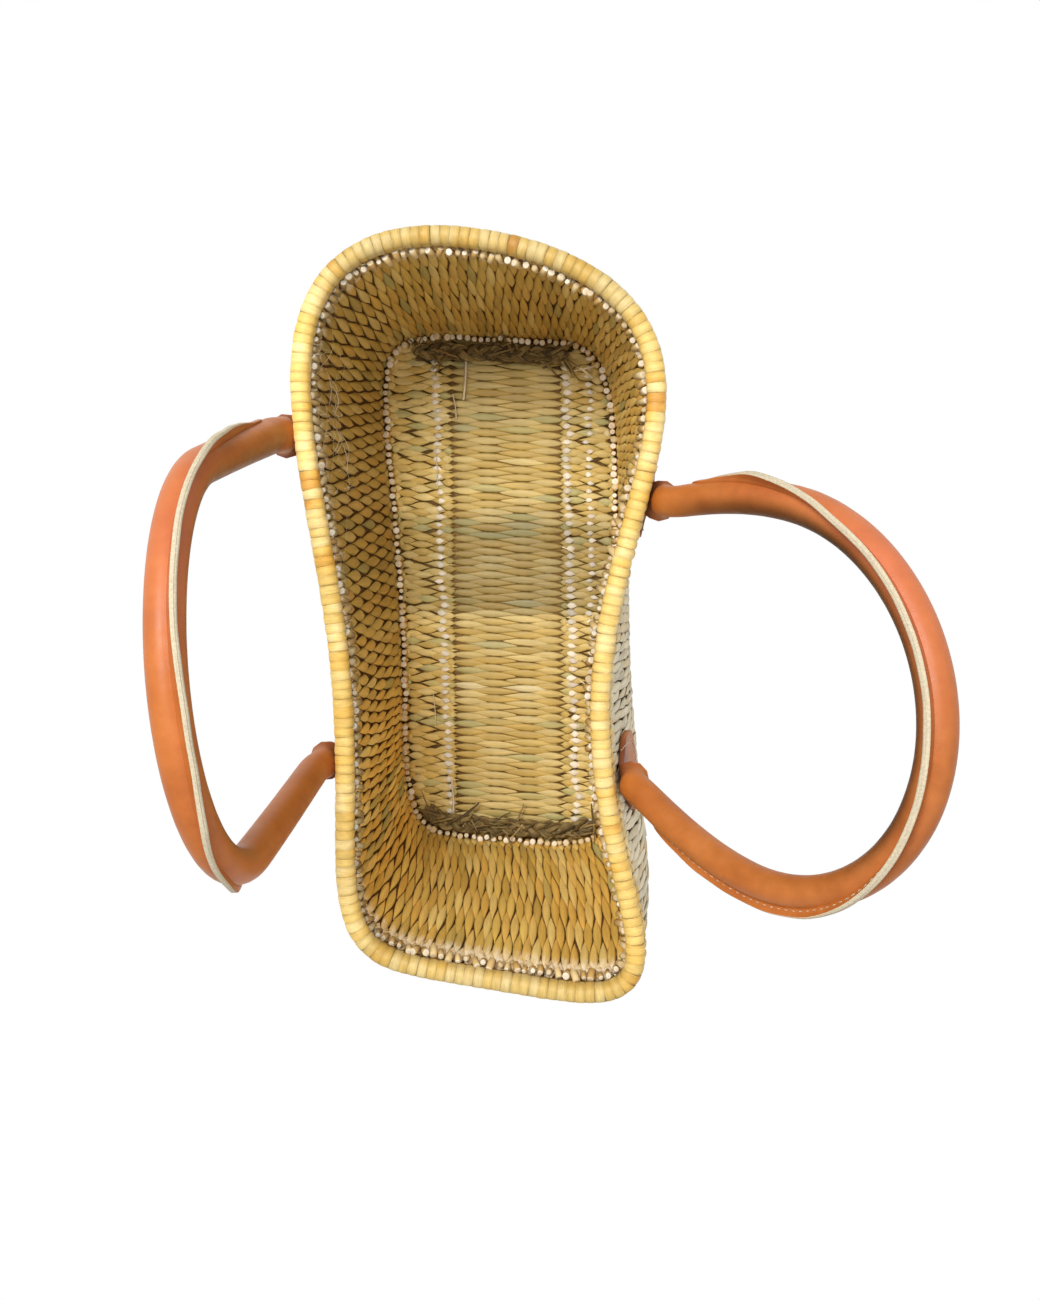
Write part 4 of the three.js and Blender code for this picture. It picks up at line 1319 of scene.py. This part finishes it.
class Loop:
    """A handle's swing line, frame and the centre line of its loop, in the frame's axes."""

    def __init__(self, name):
        shape = HANDLES[name]
        self.name = name
        self.side = shape["side"]
        self.shares = [RIM_OUTLINE.share_of(self.side, y) for y in shape["necks"]]
        self.height = BASKET_HEIGHT - HINGE_DROP
        first, second = [wall_point(share, self.height, HINGE_REACH) for share in self.shares]
        self.x = unit(second - first)
        lean = math.radians(shape["lean"])
        self.y = np.array([-self.x[1], self.x[0], 0]) * math.cos(lean) + np.array([0, 0, math.sin(lean)])
        self.z = np.cross(self.x, self.y)
        self.middle = (first + second) / 2
        span = np.linalg.norm(second - first)
        t = np.linspace(0, 1, 1201)
        from_end = np.minimum(t, 1 - t)
        side = np.where(t < 0.5, -1, 1)
        leg = np.clip(from_end / 0.25, 0, 1)
        turn = np.clip((from_end - 0.25) / 0.25, 0, 1) * math.pi / 2
        bow = shape["half_width"] - span / 2
        across = np.where(from_end < 0.25, span / 2 + bow * np.sin(leg * math.pi / 2),
                          shape["half_width"] * np.cos(turn))
        up = np.where(from_end < 0.25, shape["shoulder"] * leg,
                      shape["shoulder"] + (shape["reach"] - shape["shoulder"]) * np.sin(turn))
        local = np.stack([side * across + shape["drift"] * up, up], axis=1)
        self.line = self.middle + local[:, :1] * self.x + local[:, 1:] * self.y
        self.run = np.concatenate([[0], np.cumsum(np.linalg.norm(np.diff(self.line, axis=0), axis=1))])
        self.seam_turn, self.tapers, self.settle = shape["seam_turn"], shape["tapers"], shape["settle"]
        self.swell, self.flange = shape["swell"], shape["flange"]

    def point(self, distance):
        """The point at a distance along the loop from its first neck."""
        return np.stack([np.interp(distance, self.run, self.line[:, k]) for k in range(3)], axis=-1)

    def at(self, distance):
        """The point and the tangent at a distance along the loop from its first neck."""
        return self.point(distance), unit(self.point(distance + 1.5) - self.point(distance - 1.5))


def bezier(points, t):
    """Points along the curve that four points steer."""
    a, b, c, d = [np.asarray(p, float) for p in points]
    t = np.asarray(t)[:, None]
    return a * (1 - t) ** 3 + 3 * b * t * (1 - t) ** 2 + 3 * c * t ** 2 * (1 - t) + d * t ** 3


# A neck leaves the wall at a height and joins the loop's line some way past the hinge. Its curve is pulled
# by the same length at both ends. A tab's foot is rounded over its lowest part, in small steps. PAST_TAB
# stands for the height of a station that is on no tab.
NECK_START = 162.0
NECK_LEAVE = 11.0
NECK_PULL = 13.0
TAB_ROUNDING = 0.28 * TAB_HEIGHT
ROUNDED_PART = np.array([0, 0.004, 0.012, 0.03, 0.06, 0.1, 0.16, 0.23])
PAST_TAB = 1e3


def leather_path(loop):
    """Stations along a handle's strip: tab, neck, loop, neck, tab, with what each station needs."""
    ends = []
    for end, share in enumerate(loop.shares):
        foot = BASKET_HEIGHT - TAB_TOP_DROP - TAB_HEIGHT
        heights = np.concatenate([foot + TAB_HEIGHT * ROUNDED_PART,
                                  np.arange(foot + 0.29 * TAB_HEIGHT, NECK_START - 1, 3.0)])
        tab = wall_point(share, heights, TAB_MIDDLE)
        distance = NECK_LEAVE if end == 0 else loop.run[-1] - NECK_LEAVE
        arrive, tangent = loop.at(distance)
        if end == 1:
            tangent = -tangent
        start = wall_point(share, NECK_START, TAB_MIDDLE)
        neck = bezier([start, start + np.array([0, 0, NECK_PULL]), arrive - tangent * NECK_PULL, arrive],
                      np.linspace(0, 1, 16)[:-1])
        ends.append((heights, tab, neck))
    distances = np.linspace(NECK_LEAVE, loop.run[-1] - NECK_LEAVE, 210)
    middle, _ = loop.at(distances)
    parts = []
    for end, (heights, tab, neck) in enumerate(ends):
        points = np.concatenate([tab, neck])
        zs = np.concatenate([heights, neck[:, 2]])
        share = loop.shares[end]
        conform = 1 - smooth(zs, NECK_START + 4, NECK_START + 22)
        row = dict(points=points, share=np.full(len(points), share), conform=conform,
                   foot=np.concatenate([heights, np.full(len(neck), PAST_TAB)]) - heights[0],
                   u=np.full(len(points), 0.0 if end == 0 else 1.0))
        if end == 1:
            row = {key: value[::-1] for key, value in row.items()}
        parts.append(row)
    loop_row = dict(points=middle, share=np.full(len(middle), loop.shares[0]), conform=np.zeros(len(middle)),
                    foot=np.full(len(middle), PAST_TAB), u=distances / loop.run[-1])
    rows = [parts[0], loop_row, parts[1]]
    path = {key: np.concatenate([row[key] for row in rows]) for key in rows[0]}
    steps = np.linalg.norm(np.diff(path["points"], axis=0), axis=1)
    path["run"] = np.concatenate([[0], np.cumsum(steps)])
    swing = [np.argmin(np.linalg.norm(path["points"] - wall_point(share, loop.height, HINGE_REACH), axis=1))
             for share in loop.shares]
    path["past_neck"] = np.minimum(path["run"] - path["run"][swing[0]], path["run"][swing[1]] - path["run"])
    return path


def between_stops(stops, u):
    """Values along a handle, from its first neck at 0 to its second at 1."""
    return np.interp(u, *np.array(stops).T)


def per_end(ranges, u, past_neck):
    """A smooth rise along each leg, over its own range of distances past the neck."""
    first, second = [smooth(past_neck, low, high) for low, high in ranges]
    return np.where(u < 0.5, first, second)


def seam_directions(loop, tangents, u, past_neck):
    """Where the seam lies round the strip: underneath by the necks, then as the handle's own turns say."""
    out_of_loop = unit(np.cross(loop.z, tangents))
    fine = np.linspace(0, 1, 801)
    turns = np.pad(between_stops(loop.seam_turn, fine), 24, mode="edge")
    even = np.convolve(turns, np.hanning(49) / 24, "valid")
    settled = per_end(loop.settle, u, past_neck)
    angle = np.radians(np.interp(u, fine, even) * settled - 90 * (1 - settled))
    return out_of_loop * np.cos(angle)[:, None] + loop.z * np.sin(angle)[:, None]


def strip_section(width, closed, flange, thickness, arc_points=15):
    """The strip's middle line in cross-section, one half: places across and up, and directions."""
    half_angle = math.pi * max(closed, 0.008)
    lip = 0.0 if closed < 0.999 else 0.98 * thickness / 2
    radius = width / 2 / half_angle
    end_angle = half_angle - (math.asin(lip / radius) if lip else 0.02 * closed)
    angles = np.linspace(0, end_angle, arc_points)
    depth = radius * (1 - math.cos(half_angle))
    x = radius * np.sin(angles)
    y = depth / 2 - radius * (1 - np.cos(angles))
    heading = -angles
    bend = math.pi / 2 * closed ** 3 * smooth(flange, 0.0, 1.5)
    corner, x, y, heading = 1.5, list(x), list(y), list(heading)
    for _ in range(4):
        step = corner * bend / 4
        heading.append(heading[-1] + bend / 4)
        middle = heading[-1] - bend / 8
        x.append(x[-1] + step * math.cos(middle) + (0.06 if bend < 0.05 else 0))
        y.append(y[-1] + step * math.sin(middle))
    for part in (0.3, 0.65, 0.93, 1.0):
        last = (x[-1], y[-1])
        if part == 0.3:
            root = last
        length = max(flange - corner, 0.4) * part
        x.append(root[0] + length * math.cos(heading[-1]))
        y.append(root[1] + length * math.sin(heading[-1]))
        heading.append(heading[-1])
    return np.array(x), np.array(y), np.array(heading)


# Along each handle from its first neck to its second: how much painted shade the leather has, how much more
# painted shade on the inside of the loop, and how much pink painted sheen on its outside
LEATHER_SHADE = {
    "right": ((0, 0.14), (0.15, 0.12), (0.32, 0.04), (0.45, 0.12), (0.6, 0.15), (0.78, 0.12), (1, 0.1)),
    "left": ((0, 0.14), (0.2, 0.08), (0.26, 0.08), (0.5, 0.05), (0.7, 0.07), (0.82, 0.16), (1, 0.2)),
}
LEATHER_INNER_SHADE = {
    "right": ((0, 0.2), (0.12, 0.55), (0.25, 0.8), (0.6, 0.66), (0.7, 0.1), (1, 0.04)),
    "left": ((0, 0.0), (0.24, 0.1), (0.34, 0.55), (0.7, 0.66), (0.8, 0.4), (1, 0.4)),
}
LEATHER_PAINTED_SHEEN = {
    "right": ((0, 0), (0.2, 0.2), (0.31, 0.55), (0.42, 0.35), (0.52, 0.05), (1, 0)),
    "left": ((0, 0.25), (0.25, 0.2), (0.32, 0.05), (0.5, 0.1), (0.65, 0.4), (0.8, 0.15), (1, 0)),
}


def strip_ring(width, closed, flange, thickness, flatten):
    """One ring of the strip's surface, its places across, and which of its points lie on the cut edge.

    The places run from 0 to 1 outside, and from 2 to 3 inside. Flatten draws the ring down onto the wall.
    """
    x, y, heading = strip_section(width, closed, flange, thickness)
    y = y - flatten * y[0]
    normal = np.stack([-np.sin(heading), np.cos(heading)], axis=1)
    middle = np.stack([x, y], axis=1)
    outer, inner = middle + normal * thickness / 2, middle - normal * thickness / 2
    rounding = np.array([math.cos(heading[-1]), math.sin(heading[-1])]) * 0.12
    tip_out, tip_in = outer[-1] + rounding, inner[-1] + rounding
    half = np.concatenate([outer, [tip_out, (tip_out + tip_in) / 2 + rounding, tip_in], inner[::-1]])
    places = np.concatenate([np.linspace(0, 1, len(outer)), [1.02, 1.03, 1.02],
                             np.linspace(1, 0, len(inner)) + 2])
    on_edge = np.concatenate([np.zeros(len(outer)), np.ones(3), np.zeros(len(inner))])
    return (np.concatenate([half, half[1:-1][::-1] * np.array([-1, 1])]),
            np.concatenate([places, -places[1:-1][::-1]]), np.concatenate([on_edge, on_edge[1:-1][::-1]]))


def strip_rings(path, closed, at_wall, full_width):
    """The rings of the strip along its path, their places across and how much of the cut each point shows."""
    rings, across, edge = [], [], []
    flat_width = TAB_WIDTH - (TAB_WIDTH - NECK_WIDTH) * smooth(path["past_neck"], -36, -16)
    for k, run in enumerate(path["run"]):
        width = flat_width[k] + (full_width[k] - flat_width[k]) * closed[k] ** 1.2
        if path["foot"][k] < TAB_ROUNDING:
            past = 1 - path["foot"][k] / TAB_ROUNDING
            width *= math.sqrt(max(0.0, 1 - 0.985 * past * past))
        thickness = TAB_THICKNESS * 0.9 + (LEATHER_THICKNESS * 0.95 - TAB_THICKNESS * 0.9) * closed[k]
        uneven = 1 + 0.03 * math.sin(run / 9.0) + 0.03 * math.sin(run / 3.7)
        flange = FLANGE_WIDTH * path["flange"][k] * uneven + 1.1
        ring, places, on_edge = strip_ring(width, closed[k], flange, thickness, at_wall[k])
        rings.append(ring)
        across.append(places)
        edge.append(on_edge * smooth(path["flange"][k], 0.12, 0.5))
    return np.array(rings), np.array(across), np.array(edge)


def strip_shade_and_sheen(loop, path, tangents, from_middle):
    """The painted shade and the pink painted sheen at each point of the strip, from its share of the loop and
    the side it faces.
    """
    into_loop = -np.sum(unit(from_middle) * unit(np.cross(loop.z, tangents))[:, None, :], axis=2)
    # Painted shade along the handle, more on the loop's inside, and a pink painted sheen on its outside
    hollow, shade, blush = [between_stops(stops[loop.name], path["u"])[:, None]
                            for stops in (LEATHER_INNER_SHADE, LEATHER_SHADE, LEATHER_PAINTED_SHEEN)]
    shade = shade + hollow * smooth(into_loop, -0.15, 0.8) * smooth(path["past_neck"], 0, 30)[:, None]
    return shade, blush * (1 - smooth(into_loop, -0.2, 0.6))


def make_strip(loop, leather):
    """A handle's strip of leather, from tab to tab, rolled shut between its necks."""
    path = leather_path(loop)
    past_neck, u = path["past_neck"], path["u"]
    tangents = unit(np.gradient(path["points"], axis=0))
    seam = seam_directions(loop, tangents, u, past_neck)
    at_wall = (1 - smooth(past_neck, -18, -2))[:, None]
    facing = unit(-outward_at(path["share"], WALL_TOP) * at_wall - seam * (1 - at_wall))
    facing = unit(facing - tangents * np.sum(facing * tangents, axis=1, keepdims=True))
    lateral = np.cross(facing, tangents)
    full_width = STRIP_WIDTH * (1 + 0.13 * between_stops(loop.swell, u))
    path["flange"] = per_end(loop.tapers, u, past_neck) * between_stops(loop.flange, u)
    path["seam_reach"] = full_width / (2 * math.pi) + FLANGE_WIDTH * path["flange"]
    rings, across, edge = strip_rings(path, smooth(past_neck, -18, -1), at_wall[:, 0], full_width)
    from_middle = rings[..., :1] * lateral[:, None, :] + rings[..., 1:] * facing[:, None, :]
    shade, blush = strip_shade_and_sheen(loop, path, tangents, from_middle)
    toward_end = np.where(u > 0.5, -1.0, 1.0)[:, None]
    share = path["share"][:, None] + toward_end * rings[..., 0] / RIM_OUTLINE.length
    on_wall = wall_point(share, path["points"][:, 2:], TAB_MIDDLE - rings[..., 1])
    weight = path["conform"][:, None, None]
    points = (path["points"][:, None, :] + from_middle) * (1 - weight) + on_wall * weight
    count, columns = rings.shape[:2]
    # Painted shade where the strip folds into each neck
    neck = smooth(past_neck, -40, -24) - smooth(past_neck, -16, -3)
    strip = make_object(f"{loop.name}_leather", points.reshape(-1, 3), tube_faces(count, columns),
                        materials=[leather], edge=edge.ravel(), run=np.repeat(path["run"], columns),
                        across=across.ravel(), neck=np.repeat(neck, columns), dark=shade.ravel(),
                        blush=blush.ravel())
    outwards(strip)
    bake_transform(strip)
    tabs = [f"{loop.name}_far_tab", f"{loop.name}_near_tab"]
    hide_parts(f"{loop.name}_sleeve", *tabs)
    return path, tangents, seam


def leather_material(settings):
    """Vegetable-tanned leather: mottled orange tan with a pink painted sheen, painted shade in the necks'
    folds, and a pale cut edge.
    """
    shader = Shader("tan_leather")
    place = shader.place()
    base = tuple(settings.leather_color) + (1.0,)
    cloud = shader.noise(place, 38.0, 4.0)
    mottle = shader.noise(place, 160.0, 5.0)
    color = shader.ramp(cloud, [(0.3, linear((168, 91, 31))), (0.5, base), (0.72, linear((192, 114, 52)))])
    color = shader.shade(color, shader.spread(mottle, 0.93, 1.06))
    # A pink painted sheen on the outside of the loop, then the painted shade of the dark attribute
    color = shader.darken(shader.mix(shader.attribute("blush"), color, linear((210, 118, 88))))
    # Painted shade in the necks' folds
    color = shader.mix(shader.math("MULTIPLY", shader.attribute("neck"), 0.7), color, linear((104, 54, 40)))
    edge = shader.attribute("edge")
    fibre = shader.noise(place, 900.0, 4.0)
    cut = shader.shade(tuple(settings.edge_color) + (1.0,), shader.spread(fibre, 0.8, 1.1))
    color = shader.mix(edge, color, cut)
    rough = shader.math("ADD", shader.spread(mottle, 0.36, 0.5), shader.math("MULTIPLY", edge, 0.35))
    grain = shader.add("ShaderNodeTexVoronoi", Vector=place, Scale=1400.0)
    height = shader.math("ADD", shader.math("MULTIPLY", grain, 0.5), shader.noise(place, 2200.0, 2.0))
    wrinkle = shader.bump(shader.streaks(place, (60, 60, 60), 6.0), 0.0009, 0.4)
    shader.surface.inputs["Specular IOR Level"].default_value = 0.32
    return shader.finish(color, rough, shader.bump(height, 0.00012, 0.5, Normal=wrinkle))


def thread_material():
    """Waxed white thread with a fine twist."""
    shader = Shader("waxed_thread")
    twist = shader.add("ShaderNodeTexWave", {"wave_type": "BANDS", "bands_direction": "DIAGONAL"},
                       Vector=shader.grain(), Scale=2.0, Distortion=1.0)
    color = shader.ramp(shader.attribute("seed"), palette((236, 228, 208), (244, 238, 222), (226, 214, 188)))
    color = shader.shade(color, shader.range(twist, 0.0, 1.0, 0.85, 1.05))
    return shader.finish(color, 0.6, shader.bump(twist, 0.0001))


def rope_material():
    """The rope inside a handle."""
    shader = Shader("twisted_rope")
    fibre = shader.streaks(shader.place(), (700, 700, 2100), 4.0)
    return shader.finish(shader.between(fibre, (150, 130, 90), (214, 196, 152)), 0.9,
                         shader.bump(fibre, 0.0005))


def stitch_row(name, points, normals, shape, settings, material, body, nodes):
    """Stitches along a line of points on a surface with those normals."""
    count = len(points)
    tangents = unit(np.gradient(points, axis=0))
    guide = make_object(name, points, edges=[(k, k + 1) for k in range(count - 1)],
                        outward=np.cross(tangents, normals), pale=np.zeros(count), dark=np.zeros(count))
    length = np.linalg.norm(np.diff(points, axis=0), axis=1).sum()
    stitches = max(3, round(length / (settings.stitch_pitch / METRES)))
    width = settings.thread_thickness
    piece = grow(guide, "row", shape=shape, count=stitches,
                 size=(width, settings.stitch_length, width), size_variation=0.06,
                 turn_variation=(0.0, 0.0, 0.12), shift=(0.1, 0.05, 0.0), seed=4, material=material)
    finish_piece(piece, body, "thread", *nodes)


# The stitches of a tab: how many along each side and across its foot, how far they reach, and their inset
SIDE_STITCHES = 12
FOOT_STITCHES = 9
SIDE_REACH = (8, 36)
FOOT_REACH = 47.0
FOOT_SHARE = 0.62
TAB_STITCH_INSET = 4.0


def tab_stitch_line(share):
    """The line of a tab's stitches, down one side, across the foot and up the other, and its normals."""
    half = TAB_WIDTH / 2 - TAB_STITCH_INSET
    downs = np.concatenate([np.linspace(*SIDE_REACH, SIDE_STITCHES), np.full(FOOT_STITCHES, FOOT_REACH),
                            np.linspace(*SIDE_REACH[::-1], SIDE_STITCHES)])
    acrosses = np.concatenate([np.full(SIDE_STITCHES, -half),
                               half * np.linspace(-FOOT_SHARE, FOOT_SHARE, FOOT_STITCHES),
                               np.full(SIDE_STITCHES, half)])
    spots = share + acrosses / RIM_OUTLINE.length
    lift = TAB_MIDDLE + TAB_THICKNESS / 2 + 0.25
    return wall_point(spots, BASKET_HEIGHT - TAB_TOP_DROP - downs, lift), outward_at(spots, 150)


def build_handles(settings):
    """Both handles with their stitching, and the look of the ropes inside."""
    leather, thread, rope = leather_material(settings), thread_material(), rope_material()
    shape = stitch_shape()
    inset = settings.seam_inset / METRES
    for name in HANDLES:
        loop = Loop(name)
        path, tangents, seam = make_strip(loop, leather)
        kept = (path["flange"] > 0.4) & (path["past_neck"] > 12)
        middle, direction, tangent = path["points"][kept], seam[kept], tangents[kept]
        across = unit(np.cross(tangent, direction))
        proud = smooth(path["u"][kept, None], 0.58, 0.68) * (name == "right")
        line = middle + direction * (path["seam_reach"][kept, None] - inset + 0.8 * proud)
        for side, word in ((1, "upper"), (-1, "lower")):
            lift = 0.5 + 0.36 * smooth(path["flange"][kept, None], 0.6, 1.0) + 0.62 * proud
            stitch_row(f"{name}_{word}_stitches", line + across * side * lift, across * side, shape, settings,
                       thread, f"{name}_handle", [f"{name}_seam_thread"])
        for end, share in enumerate(loop.shares):
            word = "near" if HANDLES[name]["necks"][end] < 0 else "far"
            stitch_row(f"{name}_{word}_tab_stitches", *tab_stitch_line(share), shape, settings, thread,
                       "basket", [f"{name}_{word}_tab_thread"])
        paint_node(f"{name}_rope_core", rope)


# Stage


# Each lamp's place, width, power and colour
LAMPS = {
    "key": ((-0.35, 0.75, 1.9), 0.8, 38.0, (1.0, 0.98, 0.94)),
    "fill": ((0.9, -0.9, 1.5), 1.6, 6.0, (1.0, 1.0, 1.0)),
}
LIT_PLACE = Vector((0, 0, 0.12))
STUDIO_SIZE = 3000.0
STUDIO_LEVEL = -0.4
FILM_HEIGHT = 36.0


def set_stage(settings):
    """White floor and backdrop, broad soft light and the camera."""
    scene = bpy.context.scene
    scene.view_settings.view_transform = "Standard"
    shader = Shader("white_floor")
    seen = shader.add("ShaderNodeLightPath").node.outputs["Is Camera Ray"]
    glow = shader.add("ShaderNodeEmission", Color=(1, 1, 1, 1), Strength=1.0)
    shader.surface.inputs["Base Color"].default_value = (0.8, 0.8, 0.79, 1)
    shader.surface.inputs["Roughness"].default_value = 0.9
    blend = shader.add("ShaderNodeMixShader", i0=seen, i1=shader.surface.outputs[0], i2=glow)
    shader.links.new(blend, shader.nodes["Material Output"].inputs["Surface"])
    corners = [(x * STUDIO_SIZE, y * STUDIO_SIZE, STUDIO_LEVEL)
               for x, y in ((-1, -1), (1, -1), (1, 1), (-1, 1))]
    floor = make_object("studio_floor", corners, [(0, 1, 2, 3)], materials=[shader.material])
    scene.world = bpy.data.worlds.new("studio")
    scene.world.use_nodes = True
    sky = Graph(scene.world.node_tree)
    seen = sky.add("ShaderNodeLightPath").node.outputs["Is Camera Ray"]
    back = sky.nodes["Background"]
    sky.put(sky.add("ShaderNodeMapRange", Value=seen, To_Min=0.6, To_Max=1.0), back.inputs["Strength"])
    sky.put((1, 1, 1, 1), back.inputs["Color"])
    for name, (place, size, power, warmth) in LAMPS.items():
        data = bpy.data.lights.new(name, "AREA")
        data.shape = "DISK"
        data.size = size
        data.energy = power
        data.color = warmth
        lamp = bpy.data.objects.new(name, data)
        scene.collection.objects.link(lamp)
        lamp.location = place
        lamp.rotation_euler = (LIT_PLACE - Vector(place)).to_track_quat("-Z", "Y").to_euler()
    camera = bpy.data.cameras.new("camera")
    camera.sensor_fit = "VERTICAL"
    camera.sensor_height = FILM_HEIGHT
    camera.lens = settings.focal_length
    viewer = bpy.data.objects.new("camera", camera)
    scene.collection.objects.link(viewer)
    viewer.location = settings.camera_place
    viewer.rotation_euler = Vector(settings.camera_aim).normalized().rotation_difference(
        Vector((0, 0, -1))).to_euler()
    scene.camera = viewer


# The add-on


class BASKET_OT_weave(bpy.types.Operator):
    """Weave the basket's wall over its hidden wefts"""

    bl_idname = "basket.weave"
    bl_label = "Weave the wall"

    def execute(self, context):
        weave_wall(context.scene.basket_weave)
        packed_core(context.scene.basket_weave)
        return {"FINISHED"}


class BASKET_OT_rim(bpy.types.Operator):
    """Wind the rim with straw and set the rows of cut reed ends"""

    bl_idname = "basket.rim"
    bl_label = "Wind the rim"

    def execute(self, context):
        wind_rim(context.scene.basket_rim)
        edge_stubs(context.scene.basket_rim, context.scene.basket_floor)
        return {"FINISHED"}


class BASKET_OT_floor(bpy.types.Operator):
    """Weave the floor's mat and laps, with their cut ends"""

    bl_idname = "basket.floor"
    bl_label = "Weave the floor"

    def execute(self, context):
        weave_floor(context.scene.basket_floor, float_shape(0.1))
        floor_cut_ends(context.scene.basket_floor)
        return {"FINISHED"}


class BASKET_OT_plaits(bpy.types.Operator):
    """Lay the plaits of grass across both ends of the floor"""

    bl_idname = "basket.plaits"
    bl_label = "Lay the plaits"

    def execute(self, context):
        plait_grass(context.scene.basket_plaits)
        loose_fibres(context.scene.basket_plaits)
        return {"FINISHED"}


class BASKET_OT_handles(bpy.types.Operator):
    """Roll and stitch the two leather handles"""

    bl_idname = "basket.handles"
    bl_label = "Make the handles"

    def execute(self, context):
        build_handles(context.scene.basket_handles)
        return {"FINISHED"}


class BASKET_OT_stage(bpy.types.Operator):
    """Set the floor, the lights and the camera"""

    bl_idname = "basket.stage"
    bl_label = "Set the stage"

    def execute(self, context):
        set_stage(context.scene.basket_stage)
        return {"FINISHED"}


class BASKET_PT_panel(bpy.types.Panel):
    """The basket's settings and its operators"""

    bl_idname = "BASKET_PT_panel"
    bl_label = "Basket tote"
    bl_space_type = "VIEW_3D"
    bl_region_type = "UI"
    bl_category = "Basket"

    def draw(self, context):
        for name, operator in STEPS:
            box = self.layout.box()
            box.label(text=operator.bl_label)
            settings = getattr(context.scene, name)
            for field in SETTINGS[name].__annotations__:
                box.prop(settings, field)
            box.operator(operator.bl_idname)


STEPS = [
    ("basket_stage", BASKET_OT_stage), ("basket_weave", BASKET_OT_weave), ("basket_rim", BASKET_OT_rim),
    ("basket_floor", BASKET_OT_floor), ("basket_plaits", BASKET_OT_plaits),
    ("basket_handles", BASKET_OT_handles),
]


def register():
    """Adds the settings, the operators and the panel."""
    for settings in SETTINGS.values():
        bpy.utils.register_class(settings)
    for _, operator in STEPS:
        bpy.utils.register_class(operator)
    bpy.utils.register_class(BASKET_PT_panel)
    for name, settings in SETTINGS.items():
        setattr(bpy.types.Scene, name, PointerProperty(type=settings))


def unregister():
    """Takes them away again."""
    for name in SETTINGS:
        delattr(bpy.types.Scene, name)
    bpy.utils.unregister_class(BASKET_PT_panel)
    for _, operator in reversed(STEPS):
        bpy.utils.unregister_class(operator)
    for settings in reversed(list(SETTINGS.values())):
        bpy.utils.unregister_class(settings)


def main():
    """Builds the whole basket on the frame."""
    register()
    bpy.ops.basket.stage()
    bpy.ops.basket.weave()
    bpy.ops.basket.rim()
    bpy.ops.basket.floor()
    bpy.ops.basket.plaits()
    bpy.ops.basket.handles()


if __name__ == "__main__":
    main()
